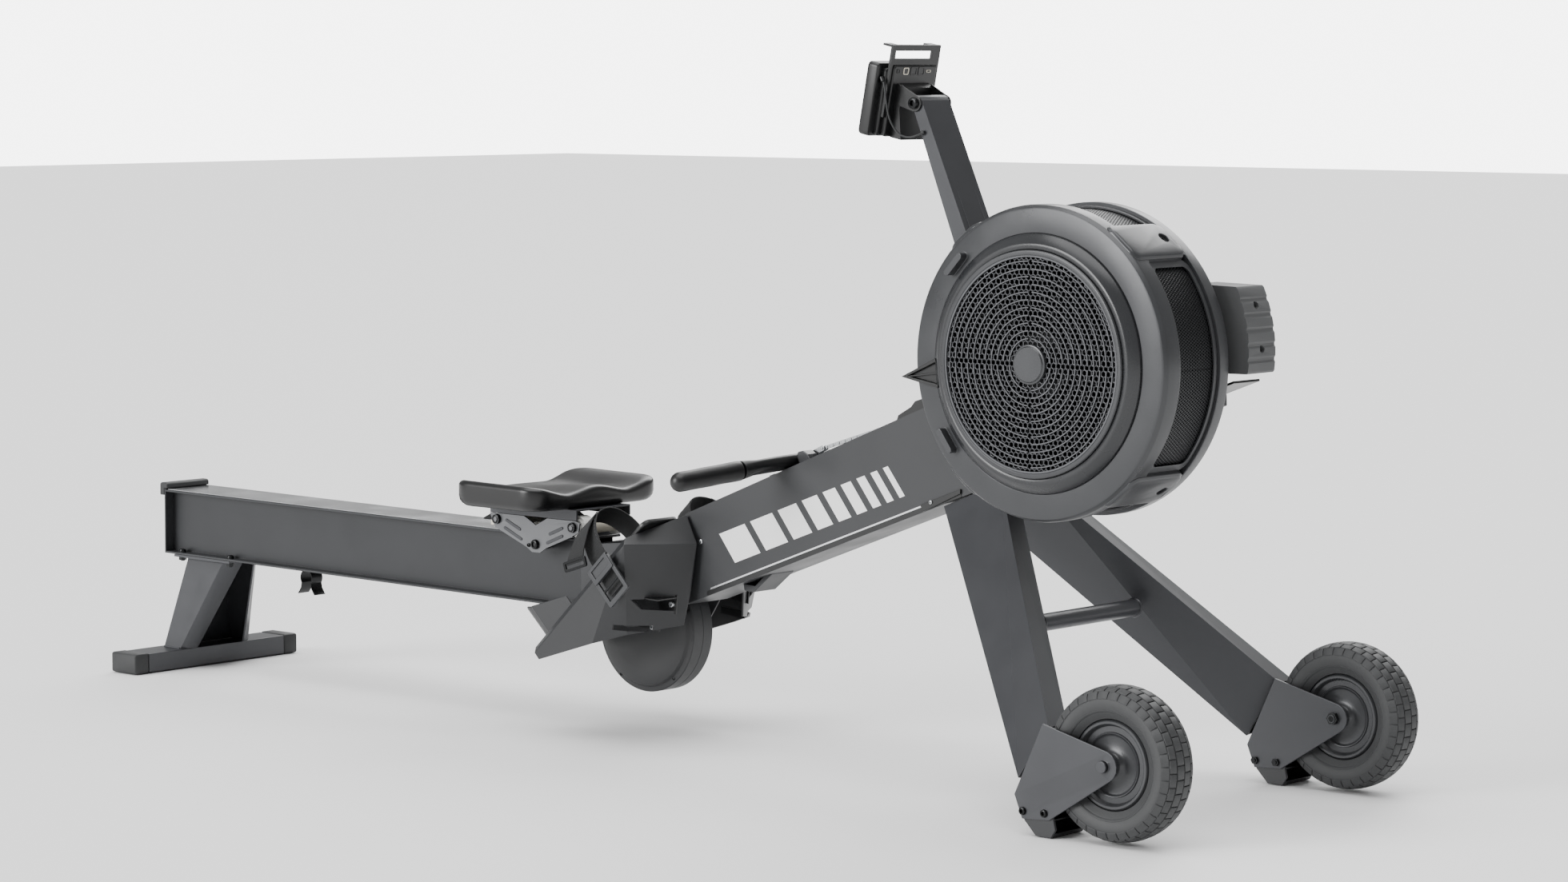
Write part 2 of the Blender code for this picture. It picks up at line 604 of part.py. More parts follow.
# ---------------------------------------------------------------- footrests
def build_footrests():
    corners = {
        "heel_in": (-0.1560, 0.0525, 0.1400), "toe_in": (0.0710, 0.0525, 0.3580),
        "heel_out": (-0.1560, 0.1600, 0.1400), "toe_out": (0.0450, 0.1600, 0.3330),
        "heel_side": (-0.1480, 0.1700, 0.1330), "toe_side": (0.0520, 0.1690, 0.3240),
        "heel_low": (-0.1380, 0.1700, 0.1230), "mid_low": (-0.0200, 0.1680, 0.1600),
        "bend_low": (0.0350, 0.1450, 0.1760), "front_low": (0.0880, 0.0700, 0.1890),
        "front_mid": (0.0970, 0.0620, 0.2450), "front_high": (0.1070, 0.0590, 0.3200),
        "front_top": (0.0800, 0.0540, 0.3640), "heel_base": (-0.1505, 0.0525, 0.1330),
    }
    faces = [
        ("heel_in", "heel_out", "toe_out", "toe_in"),
        ("heel_out", "heel_side", "toe_side", "toe_out"),
        ("heel_side", "heel_low", "mid_low", "bend_low", "toe_side"),
        ("toe_side", "bend_low", "front_low", "front_mid", "front_high"),
        ("toe_out", "toe_side", "front_high", "front_top"),
        ("toe_in", "toe_out", "front_top"),
        ("heel_in", "heel_base", "heel_low", "heel_side", "heel_out"),
    ]
    shape = bmesh.new()
    vertex = {name: shape.verts.new((x, -y, z)) for name, (x, y, z) in corners.items()}
    for names in faces:
        shape.faces.new([vertex[name] for name in names])
    bmesh.ops.triangulate(shape, faces=shape.faces)
    bmesh.ops.recalc_face_normals(shape, faces=shape.faces)
    mesh = bpy.data.meshes.new("footrest_right")
    shape.to_mesh(mesh)
    shape.free()
    shell = as_object("footrest_right", mesh, PLASTIC)
    wall = shell.modifiers.new("wall", "SOLIDIFY")
    wall.thickness = 0.003
    wall.offset = -1.0
    wall.use_even_offset = True
    pair(shell)

    cup = box("heel_cup_right", (0.004, -0.1500, GAP), (0.170, -0.0620, 0.0033), PLASTIC)
    path = [(0.1000, -0.0650), (0.0220, -0.0650), (0.0070, -0.0850), (0.0070, -0.1250),
            (0.0220, -0.1450), (0.1000, -0.1450)]
    wall = prism("cup_wall", "XY", [thicken(path, 0.0030)], 0.0015, 0.0450, PLASTIC)
    join(cup, wall)
    pair(place(cup, PLATE_FRAME))

    arch = [(-0.0560, 0.0010), (-0.0600, 0.0450), (-0.0740, 0.0760), (-0.1000, 0.0900),
            (-0.1300, 0.0860), (-0.1550, 0.0620), (-0.1715, 0.0250), (-0.1735, -0.0300)]
    strap = prism("strap_right", "YZ", [thicken(arch, 0.0018)], 0.2030, 0.2410, WEBBING)
    pair(place(strap, PLATE_FRAME))

    buckle = [rectangle((0.1950, -0.0730), (0.2490, 0.0)),
              rectangle((0.2025, -0.0640), (0.2415, -0.0080))]
    lever = prism("buckle_right", "XZ", buckle, -0.1830, -0.1780, GREY_PLASTIC)
    pair(place(lever, PLATE_FRAME))


# ---------------------------------------------------------------- fan
def build_fan():
    back = [(0.0135, -0.0498), (0.0320, -0.0498), (0.0320, FAN_BACK_Y), (0.2190, FAN_BACK_Y),
            (FAN_R, -0.0605), (FAN_R, -0.0780), (0.2180, -0.0780), (0.2180, -0.1860),
            (0.2160, -0.1860), (0.2160, -0.0565), (0.0300, -0.0565), (0.0300, -0.0700),
            (0.0135, -0.0700)]
    turned("fan_back_cover", back, FAN, GREY_PLASTIC, steps=LARGE)

    bearing = [(0.0077, -0.0560), (0.0132, -0.0560), (0.0132, -0.0690), (0.0077, -0.0690)]
    turned("fan_bearing", bearing, FAN, STEEL)

    front = [(0.2185, -0.0783), (FAN_R, -0.0783), (FAN_R, -0.2000), (0.2215, FAN_FRONT_Y),
             (0.1630, FAN_FRONT_Y), (0.1630, GRILLE_Y), (GRILLE_R + GAP, GRILLE_Y),
             (GRILLE_R + GAP, -0.2040), (0.2150, -0.2040), (0.2185, -0.1980)]
    cover = turned("fan_front_cover", front, FAN, GREY_PLASTIC, steps=LARGE)
    for name, low, high in (
            ("window_side", (FAN[0] - 0.3, -0.1800, FAN[1] - 0.1570), (FAN[0] + 0.3, -0.0700, FAN[1] + 0.1570)),
            ("window_top", (FAN[0] - 0.1170, -0.1800, FAN[1] - 0.3), (FAN[0] + 0.1170, -0.0700, FAN[1] + 0.3))):
        cut(cover, box(name, low, high, GREY_PLASTIC))
    for name, angle in (("peg_upper", 140), ("peg_lower", 213)):
        middle = 0.2010
        x = FAN[0] + middle * cos(radians(angle))
        z = FAN[1] + middle * sin(radians(angle))
        peg = [(0.0, -0.2060), (0.0050, -0.2060), (0.0050, -0.2180), (0.0035, -0.2200), (0.0, -0.2200)]
        join(cover, turned(name, peg, (x, z), GREY_PLASTIC, steps=12, closed=False))

    build_grille()
    build_damper()
    build_fan_wheel()


def build_grille():
    """A disc with ring slots between four spokes, and a raised hub cap."""
    slots = []
    for inner, outer in ((0.040, 0.068), (0.074, 0.102), (0.108, 0.146)):
        for quarter in range(4):
            start, end = quarter * 90 + 4, quarter * 90 + 86
            slots.append(arc(FAN, inner, start, end, 6) + arc(FAN, outer, end, start, 8))
    grille = prism("fan_grille", "XZ", [circle(FAN, GRILLE_R, LARGE)] + slots, -0.2250, -0.2220,
                   GREY_PLASTIC)
    hub = [(0.0, -0.2230), (0.0270, -0.2230), (0.0270, -0.2268), (0.0240, -0.2282), (0.0, -0.2282)]
    join(grille, turned("hub_cap", hub, FAN, GREY_PLASTIC, closed=False))


def build_damper():
    ring = [(0.1636, -0.2077), (0.1855, -0.2077), (0.1855, -0.2110), (0.1720, -0.2215), (0.1636, -0.2215)]
    damper = turned("damper_ring", ring, FAN, GREY_PLASTIC, steps=LARGE)
    rest = radians(187)
    tip = (FAN[0] + 0.2450 * cos(rest), FAN[1] + 0.2450 * sin(rest))
    root = [(FAN[0] + 0.1790 * cos(rest + side), FAN[1] + 0.1790 * sin(rest + side))
            for side in (radians(-7), radians(7))]
    join(damper, prism("damper_lever", "XZ", [[tip, root[0], root[1]]], -0.2180, -0.2084, GREY_PLASTIC))


def build_fan_wheel():
    blades = 12
    outline = []
    for i in range(blades):
        middle = 360 * i / blades
        thin = 0.0012
        inner = 0.050
        side = thin / inner * 180 / pi
        tip_side = thin / 0.205 * 180 / pi
        outline += arc(FAN, inner, middle - 360 / blades + side, middle - side, 2)
        outline += arc(FAN, 0.205, middle - tip_side, middle + tip_side, 1)
    wheel = prism("fan_wheel", "XZ", [outline], -0.1950, -0.0760, COATED)
    shaft = [(0.0, 0.0450), (JOURNAL_R, 0.0450), (JOURNAL_R, -0.0200), (SHAFT_R, -0.0200),
             (SHAFT_R, -0.1980), (0.0, -0.1980)]
    join(wheel, turned("fan_shaft", shaft, FAN, STEEL, closed=False))

    teeth = [(0.0061, 0.0035), (0.0112, 0.0035), (0.0112, -0.0035), (0.0061, -0.0035)]
    turned("drive_sprocket", teeth, FAN, STEEL)


# ---------------------------------------------------------------- monitor
def build_monitor():
    top = arc((HINGE[0] + 0.0005, HINGE[1]), 0.0122, 20, 150, 4)
    outline = [(0.7232, beam_top(0.7232) + GAP)] + top + [(0.6905, beam_top(0.6905) + GAP)]
    arm = prism("monitor_arm", "XZ", [outline], -0.0330, 0.0330, GREY_COATED)
    inside = [(0.7500, 0.5800), (0.5460, 1.0060), (0.5350, 1.0010), (0.7050, 0.5600)]
    cut(arm, prism("arm_hollow", "XZ", [inside], -0.0300, 0.0300, GREY_COATED))
    bore = turned("hinge_bore", [(0.0, 0.05), (0.0052, 0.05), (0.0052, -0.05), (0.0, -0.05)],
                  HINGE, STEEL, closed=False)
    cut(arm, bore)

    frame = Matrix.Translation((HINGE[0], 0.0, HINGE[1])) @ Matrix.Rotation(MONITOR_LEAN, 4, "Y")
    body = box("monitor_body", (-0.0745, -0.0700, -0.0615), (-0.0530, 0.0700, 0.0510), PLASTIC, bevel=0.005)
    body = settle(body)
    middle = box("monitor_middle", (-0.0540, -0.0580, -0.0600), (-0.0450, 0.0580, 0.0440), PLASTIC)
    ports = box("monitor_ports", (-0.0460, -0.0500, -0.0595), (-0.0370, 0.0500, 0.0500), PLASTIC)
    foot = prism("monitor_foot", "XZ", [[(-0.0380, -0.0600), (-0.0150, -0.0600), (-0.0270, -0.0150),
                                         (-0.0270, 0.0240), (-0.0380, 0.0240)]],
                 -0.0360, 0.0360, PLASTIC)
    ear = [(-0.0310, -0.0100)] + arc((0.0, 0.0), 0.0130, -90, 90, 6) + [(-0.0310, 0.0230)]
    ears = []
    for sign in (-1, 1):
        ends = sorted((sign * 0.0336, sign * 0.0365))
        ears.append(prism(f"hinge_ear_{sign}", "XZ", [ear], ends[0], ends[1], PLASTIC))
    bolt = turned("hinge_bolt", [(0.0, 0.0420), (0.0090, 0.0420), (0.0090, 0.0360), (0.0051, 0.0360),
                                 (0.0051, -0.0360), (0.0090, -0.0360), (0.0090, -0.0420),
                                 (0.0, -0.0420)], (0.0, 0.0), STEEL, closed=False)
    place(join(body, middle, ports, foot, *ears, bolt), frame)

    slider = [[(-0.0560, 0.0810), (-0.0560, -0.0300), (-0.0503, -0.0300), (-0.0503, 0.0503),
               (0.0503, 0.0503), (0.0503, -0.0300), (0.0560, -0.0300), (0.0560, 0.0810)],
              rectangle((-0.0480, 0.0600), (0.0380, 0.0720))]
    holder = prism("phone_holder", "YZ", slider, -0.0447, -0.0400, PLASTIC)
    for sign in (-1, 1):
        ends = sorted((sign * 0.0380, sign * 0.0560))
        prong = box(f"prong_{sign}", (-0.0610, ends[0], 0.0770), (-0.0420, ends[1], 0.0805), PLASTIC)
        join(holder, prong)
    place(settle(holder), frame)

    route = [(0.4915, -0.0604, 1.0555), (0.4950, -0.0610, 1.0490), (0.4975, -0.0612, 1.0380),
             (0.4990, -0.0610, 1.0240), (0.5010, -0.0600, 1.0100), (0.5035, -0.0575, 0.9960),
             (0.5080, -0.0540, 0.9840), (0.5150, -0.0500, 0.9740), (0.5245, -0.0460, 0.9690),
             (0.5345, -0.0425, 0.9690), (0.5440, -0.0395, 0.9720), (0.5520, -0.0355, 0.9760)]
    tube("monitor_lead", route, 0.0015, RUBBER)


# ---------------------------------------------------------------- front legs and wheels
def build_legs():
    def rear(a):
        return 0.606 + 1.345 * (a - 0.05), a, 0.416 - 1.285 * (a - 0.05)

    def outer_front(a):
        return 0.657 + 1.154 * a, a, 0.5255 - 1.248 * a

    def inner_front(a):
        return 0.694 + 1.199 * a, a, 0.489 - 1.297 * a

    def ring(shrink, end):
        top = [(0.606, 0.050, 0.416), outer_front(0.0524), (0.720, 0.0216, 0.461), (0.606, 0.020, 0.416)]
        low = [rear(0.3130), outer_front(0.2990), inner_front(0.2590), (0.9480, 0.2560, 0.0660)]
        points = [Vector(p) for p in (top if end == "top" else low)]
        middle = sum(points, Vector()) / 4
        made = []
        for i, point in enumerate(points):
            before = (points[i - 1] - point).normalized()
            after = (points[(i + 1) % 4] - point).normalized()
            spread = before.cross(after).length
            made.append(point + (before + after) * shrink / spread)
        drop = 0.0006 if end == "top" else 0.0
        if shrink:
            axis = Vector((0.34, 0.25, -0.33)).normalized()
            made = [p + axis * (-0.02 if end == "top" else 0.02) for p in made]
        return [(p.x, -p.y, p.z - drop) for p in made], middle

    leg = loft("front_leg_right", [ring(0.0, "top")[0], ring(0.0, "low")[0]], GREY_COATED)
    hollow = loft("leg_hollow", [ring(SHEET, "top")[0], ring(SHEET, "low")[0]], GREY_COATED)
    cut(leg, hollow)
    pair(leg)

    tube("leg_crossbar", [(0.8400, -0.1180, 0.2660), (0.8400, 0.1180, 0.2660)], 0.0130, GREY_COATED,
         resolution=4)


def build_wheel_brackets():
    lobe = arc((WHEEL_X, WHEEL_Z), 0.0225, -62, 72, 6)
    outline = [(0.9590, 0.0560), (0.9730, 0.0225), (1.0210, 0.0255)] + lobe + [(1.0085, 0.1615)]
    bore = circle((WHEEL_X, WHEEL_Z), 0.0061)
    outer = prism("wheel_plate_outer_right", "XZ", [outline], -PLATE_OUTER_Y,
                  LEG_PLATE - PLATE_OUTER_Y, GREY_COATED)
    bolt = [(0.0, 0.0 - PLATE_INNER_Y + 0.0080), (0.0060, -PLATE_INNER_Y + 0.0080),
            (0.0060, -PLATE_OUTER_Y + 0.001), (0.0085, -PLATE_OUTER_Y + 0.001),
            (0.0085, -PLATE_OUTER_Y - 0.0060), (0.0, -PLATE_OUTER_Y - 0.0060)]
    join(outer, turned("wheel_bolt", bolt, (WHEEL_X, WHEEL_Z), STEEL, closed=False))
    pair(outer)
    pair(prism("wheel_plate_inner_right", "XZ", [outline, bore], -PLATE_INNER_Y - LEG_PLATE,
               -PLATE_INNER_Y, GREY_COATED))

    shoe = [(0.9630, 0.0460), (0.9750, 0.0200), (0.9950, 0.0), (1.0220, 0.0), (1.0300, 0.0120),
            (1.0210, 0.0500), (0.9900, 0.0560)]
    inside = [(0.9720, 0.0480), (0.9800, 0.0240), (0.9970, 0.0050), (1.0200, 0.0050), (1.0400, 0.0100),
              (1.0300, 0.0430), (0.9850, 0.0500)]
    foot = prism("leg_foot_right", "XZ", [shoe], -0.3177, -0.2449, PLASTIC)
    cut(foot, prism("foot_hollow", "XZ", [inside], -0.3130, -0.2490, PLASTIC))
    pair(foot)


def build_wheels():
    def at(profile):
        return [(radius, y - WHEEL_Y) for radius, y in profile]

    tread = [(0.0640, 0.0240), (0.0850, 0.0335), (0.1030, 0.0310), (0.1090, 0.0220), (WHEEL_R, 0.0080)]
    profile = tread + [(r, -y) for r, y in reversed(tread)]
    tyre = turned("tyre_right", at(profile), (WHEEL_X, WHEEL_Z), RUBBER, steps=32)
    pair(tyre)

    side = [(0.0061, 0.0330), (0.0150, 0.0330), (0.0170, 0.0180), (0.0420, 0.0160), (0.0540, 0.0235),
            (0.0636, 0.0235)]
    rim = turned("rim_right", at(side + [(r, -y) for r, y in reversed(side)]), (WHEEL_X, WHEEL_Z),
                 GREY_PLASTIC, steps=ROUND)
    pair(rim)


def main():
    build_rail()
    build_rear_stand()
    build_storage_clip()
    build_seat()
    build_carriage()
    build_rollers()
    build_beam()
    build_foot_frame()
    build_recoil()
    build_chain()
    build_handle()
    build_footrests()
    build_fan()
    build_monitor()
    build_legs()
    build_wheel_brackets()
    build_wheels()


main()
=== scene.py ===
"""Looks of the rowing machine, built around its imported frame. Metres, +Z up, row frame."""
import json
from math import atan, atan2, cos, hypot, pi, radians, sin, sqrt

import bmesh
import bpy
from mathutils import Matrix, Vector

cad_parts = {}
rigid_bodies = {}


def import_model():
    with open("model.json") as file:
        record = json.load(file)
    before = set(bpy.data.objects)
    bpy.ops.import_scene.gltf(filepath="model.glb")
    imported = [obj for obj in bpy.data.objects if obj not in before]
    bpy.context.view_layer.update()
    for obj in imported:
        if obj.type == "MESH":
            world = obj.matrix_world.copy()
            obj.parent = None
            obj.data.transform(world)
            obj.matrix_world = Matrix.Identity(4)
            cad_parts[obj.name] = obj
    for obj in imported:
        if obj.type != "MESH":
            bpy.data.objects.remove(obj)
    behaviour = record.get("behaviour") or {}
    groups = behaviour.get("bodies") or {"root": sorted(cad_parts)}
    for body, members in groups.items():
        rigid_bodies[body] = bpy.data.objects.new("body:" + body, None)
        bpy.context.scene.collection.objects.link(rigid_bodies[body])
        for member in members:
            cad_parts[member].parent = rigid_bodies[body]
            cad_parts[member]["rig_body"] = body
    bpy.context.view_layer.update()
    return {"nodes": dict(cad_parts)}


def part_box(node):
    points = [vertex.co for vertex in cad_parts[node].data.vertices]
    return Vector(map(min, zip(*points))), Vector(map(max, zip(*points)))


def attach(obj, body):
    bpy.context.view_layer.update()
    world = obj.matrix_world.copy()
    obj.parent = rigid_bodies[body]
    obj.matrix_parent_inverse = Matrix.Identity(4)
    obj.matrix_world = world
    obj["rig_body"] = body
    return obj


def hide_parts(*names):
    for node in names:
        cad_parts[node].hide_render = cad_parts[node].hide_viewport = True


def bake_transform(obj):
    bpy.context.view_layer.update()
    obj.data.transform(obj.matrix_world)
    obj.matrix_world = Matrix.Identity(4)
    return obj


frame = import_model()

NODES = frame["nodes"]
PITCH = atan(0.4003)                 # slope of the main beam
RAIL_REAR = (-1.214, 0.3156)         # rear end of the running surface, x and z
RAIL_FALL = 0.0084
HEEL = (-0.156, 0.140)               # lower end of the foot plates, x and z
PLATE_ANGLE = radians(43.85)
FAN = (0.9057, 0.6535)               # fan centre, x and z
DISC = (-0.040, 0.170)               # recoil housing centre, x and z
WHEEL = (1.1155, 0.1125)             # front wheel centre, x and z
WHEEL_Y = 0.2813
HANDLE = (0.276, 0.4595)             # handle centre, x and z
HINGE = (0.534, 1.0195)              # monitor hinge, x and z


# ---------------------------------------------------------------- materials
def linear(code):
    parts = [int(code[i:i + 2], 16) / 255 for i in (0, 2, 4)]
    return [c / 12.92 if c <= 0.04045 else ((c + 0.055) / 1.055) ** 2.4 for c in parts]


def finish(name, colour, rough, metallic=0.0, grain=900.0, depth=0.00004, stretch=(1, 1, 1),
           mottle=0.10, wear=0.0, weave=0.0):
    """A procedural finish: grain or weave in the normal, a slow mottle in colour and gloss,
    and a lighter rubbed line along convex edges where wear is given."""
    made = bpy.data.materials.new(name)
    made.use_nodes = True
    nodes, links = made.node_tree.nodes, made.node_tree.links
    shader = nodes["Principled BSDF"]
    shader.inputs["Metallic"].default_value = metallic
    where = nodes.new("ShaderNodeTexCoord")
    scale = nodes.new("ShaderNodeMapping")
    scale.inputs["Scale"].default_value = stretch
    links.new(where.outputs["Object"], scale.inputs["Vector"])

    fine = nodes.new("ShaderNodeTexNoise")
    fine.inputs["Scale"].default_value = grain
    fine.inputs["Detail"].default_value = 3.0
    links.new(scale.outputs["Vector"], fine.inputs["Vector"])
    slow = nodes.new("ShaderNodeTexNoise")
    slow.inputs["Scale"].default_value = 14.0
    slow.inputs["Detail"].default_value = 5.0
    links.new(where.outputs["Object"], slow.inputs["Vector"])

    tone = nodes.new("ShaderNodeMix")
    tone.data_type = "RGBA"
    base = linear(colour)
    tone.inputs[6].default_value = [c * (1 - mottle) for c in base] + [1]
    tone.inputs[7].default_value = [c * (1 + mottle) for c in base] + [1]
    links.new(slow.outputs["Fac"], tone.inputs["Factor"])
    colour_out = tone.outputs[2]
    if wear:
        edge = nodes.new("ShaderNodeNewGeometry")
        pick = nodes.new("ShaderNodeMapRange")
        pick.inputs["From Min"].default_value = 0.53
        pick.inputs["From Max"].default_value = 0.62
        pick.inputs["To Max"].default_value = wear
        links.new(edge.outputs["Pointiness"], pick.inputs["Value"])
        rubbed = nodes.new("ShaderNodeMix")
        rubbed.data_type = "RGBA"
        rubbed.inputs[7].default_value = [min(1.0, c * 2.6 + 0.02) for c in base] + [1]
        links.new(colour_out, rubbed.inputs[6])
        links.new(pick.outputs["Result"], rubbed.inputs["Factor"])
        colour_out = rubbed.outputs[2]
    links.new(colour_out, shader.inputs["Base Color"])

    gloss = nodes.new("ShaderNodeMapRange")
    gloss.inputs["From Min"].default_value = 0.3
    gloss.inputs["From Max"].default_value = 0.7
    gloss.inputs["To Min"].default_value = rough - 0.05
    gloss.inputs["To Max"].default_value = rough + 0.07
    links.new(slow.outputs["Fac"], gloss.inputs["Value"])
    links.new(gloss.outputs["Result"], shader.inputs["Roughness"])

    height = fine.outputs["Fac"]
    if weave:
        across = nodes.new("ShaderNodeTexWave")
        across.inputs["Scale"].default_value = weave
        across.bands_direction = "Y"
        along = nodes.new("ShaderNodeTexWave")
        along.inputs["Scale"].default_value = weave * 1.4
        along.bands_direction = "DIAGONAL"
        links.new(where.outputs["Object"], across.inputs["Vector"])
        links.new(where.outputs["Object"], along.inputs["Vector"])
        both = nodes.new("ShaderNodeMath")
        both.operation = "MAXIMUM"
        links.new(across.outputs["Fac"], both.inputs[0])
        links.new(along.outputs["Fac"], both.inputs[1])
        height = both.outputs["Value"]
    bump = nodes.new("ShaderNodeBump")
    bump.inputs["Strength"].default_value = 0.6
    bump.inputs["Distance"].default_value = depth
    links.new(height, bump.inputs["Height"])
    links.new(bump.outputs["Normal"], shader.inputs["Normal"])
    return made


COATED = finish("powder_coat_grey", "37383b", 0.36, 0.25, 700, 0.00006, wear=0.25)
BEAM_COAT = finish("powder_coat_dark", "2c2d2f", 0.42, 0.15, 700, 0.00006, wear=0.2)
RAIL_COAT = finish("anodised_grey", "313234", 0.38, 0.4, 300, 0.00003, (0.03, 1, 1), wear=0.2)
STAINLESS = finish("stainless_track", "e2e3e5", 0.20, 1.0, 900, 0.00002, (0.02, 1, 1), 0.03)
STEEL = finish("plated_steel", "b5b7b9", 0.28, 1.0, 500, 0.00002, mottle=0.06)
BLACK_STEEL = finish("black_oxide_steel", "1a1b1c", 0.28, 0.7, 600, 0.00003, mottle=0.12, wear=0.3)
HOUSING = finish("moulded_grey_plastic", "3a3b3d", 0.31, 0.30, 1300, 0.00005, wear=0.15)
PLASTIC = finish("moulded_black_plastic", "222325", 0.42, 0.0, 1300, 0.00006, wear=0.15)
DARK_PLASTIC = finish("dark_plastic", "0d0e0f", 0.34, 0.0, 1300, 0.00004, wear=0.1)
RING_PLASTIC = finish("gloss_ring_plastic", "2a2b2d", 0.27, 0.1, 1300, 0.00003, wear=0.1)
GRILLE_COAT = finish("grille_plastic", "333437", 0.26, 0.35, 900, 0.00003)
RING_COAT = finish("grille_rings", "56575a", 0.26, 0.35, 900, 0.00003)
BUMPER = finish("bumper_rubber", "4a4b4c", 0.55, 0.0, 1100, 0.00010, mottle=0.16)
CARRIAGE = finish("bead_blasted_grey", "6a6b6d", 0.34, 0.6, 900, 0.00004, wear=0.2)
RUBBER = finish("black_rubber", "2a2b2c", 0.60, 0.0, 1100, 0.00010, mottle=0.16)
TYRE = finish("tyre_rubber", "343536", 0.60, 0.0, 700, 0.00016, mottle=0.16)
GRIP = finish("grip_foam", "0e0e0f", 0.38, 0.0, 1500, 0.00007)
SEAT = finish("seat_skin", "0d0d0e", 0.33, 0.0, 1000, 0.00008, mottle=0.08)
NYLON = finish("cream_nylon", "d3cdbd", 0.45, 0.0, 700, 0.00004, mottle=0.05)
TYRE_WHITE = finish("roller_tread", "dcdcd8", 0.35, 0.0, 700, 0.00003, mottle=0.04)
WEBBING = finish("nylon_webbing", "131415", 0.75, 0.0, depth=0.00030, weave=260)
MESH = finish("perforated_steel", "222325", 0.36, 0.6, 900, 0.00003)
WHITE = finish("white_paint", "f2f2f2", 0.45, 0.0, 900, 0.00003, mottle=0.02)
# Bright silver, used only for the painted highlight strip along the beam's lower edge.
PAINTED_HIGHLIGHT = finish("painted_edge_highlight", "dfe0e2", 0.25, 0.9, 600, 0.00002, (0.05, 1, 1), 0.03)
GLASS = finish("display_window", "1b1f22", 0.10, 0.0, 400, 0.00001, mottle=0.04)
KEYS = finish("membrane_keys", "6d7073", 0.45, 0.0, 900, 0.00003, mottle=0.05)


# ---------------------------------------------------------------- shape helpers
XZ = Matrix(((1, 0, 0, 0), (0, 0, 1, 0), (0, 1, 0, 0), (0, 0, 0, 1)))
YZ = Matrix(((0, 0, 1, 0), (1, 0, 0, 0), (0, 1, 0, 0), (0, 0, 0, 1)))
HERE = Matrix.Identity(4)


def frame_at(x, z, pitch):
    """A frame at x, z whose local X axis rises by pitch towards world +X."""
    return Matrix.Translation((x, 0.0, z)) @ Matrix.Rotation(-pitch, 4, "Y")


RAIL = frame_at(RAIL_REAR[0], RAIL_REAR[1], -atan(RAIL_FALL))
PLATE = frame_at(HEEL[0], HEEL[1], PLATE_ANGLE)
GRIP_FRAME = frame_at(HANDLE[0], HANDLE[1], PITCH)
MONITOR = Matrix.Translation((HINGE[0], 0.0, HINGE[1])) @ Matrix.Rotation(radians(11.2), 4, "Y")


def beam_top(x):
    return 0.379 + 0.4003 * (x - 0.109)


def beam_bottom(x):
    return 0.436 + 0.3747 * (x - 0.653)


def arc(centre, radius, start, end, steps):
    turn = (radians(start) + radians(end - start) * i / steps for i in range(steps + 1))
    return [(centre[0] + radius * cos(a), centre[1] + radius * sin(a)) for a in turn]


def rounded(low, high, radius, steps=4):
    """A rectangle with rounded corners."""
    x0, z0, x1, z1 = low[0] + radius, low[1] + radius, high[0] - radius, high[1] - radius
    return (arc((x1, z1), radius, 0, 90, steps) + arc((x0, z1), radius, 90, 180, steps)
            + arc((x0, z0), radius, 180, 270, steps) + arc((x1, z0), radius, 270, 360, steps))


def capsule(start, end, radius, steps=6):
    """A slot-shaped outline round the line from start to end."""
    angle = atan2(end[1] - start[1], end[0] - start[0]) * 180 / pi
    return (arc(end, radius, angle - 90, angle + 90, steps)
            + arc(start, radius, angle + 90, angle + 270, steps))


def dense(outline, least=0.05, parts=24):
    """The outline with every edge longer than least split into parts."""
    points = []
    for a, b in zip(outline, outline[1:] + outline[:1]):
        count = parts if hypot(b[0] - a[0], b[1] - a[1]) > least else 1
        points += [(a[0] + (b[0] - a[0]) * k / count, a[1] + (b[1] - a[1]) * k / count) for k in range(count)]
    return points


def thicken(path, wall):
    """The outline of a bent strip: the path and its copy offset to its left by wall."""
    path = [Vector(point) for point in path]
    offset = []
    for i, point in enumerate(path):
        before = (point - path[i - 1]).normalized() if i else None
        after = (path[i + 1] - point).normalized() if i + 1 < len(path) else None
        first, second = before or after, after or before
        normal = Vector((-first.y - second.y, first.x + second.x)).normalized()
        offset.append(point + normal * wall / normal.dot(Vector((-first.y, first.x))))
    return [tuple(point) for point in path] + [tuple(point) for point in reversed(offset)]


def smooth_path(points, steps=6):
    """A Catmull-Rom line through the points."""
    points = [Vector(p) for p in points]
    points = [2 * points[0] - points[1]] + points + [2 * points[-1] - points[-2]]
    line = []
    for a, b, c, d in zip(points, points[1:], points[2:], points[3:]):
        for i in range(steps):
            t = i / steps
            line.append(0.5 * (2 * b + (c - a) * t + (2 * a - 5 * b + 4 * c - d) * t * t
                               + (3 * b - a - 3 * c + d) * t ** 3))
    return line + [points[-2]]


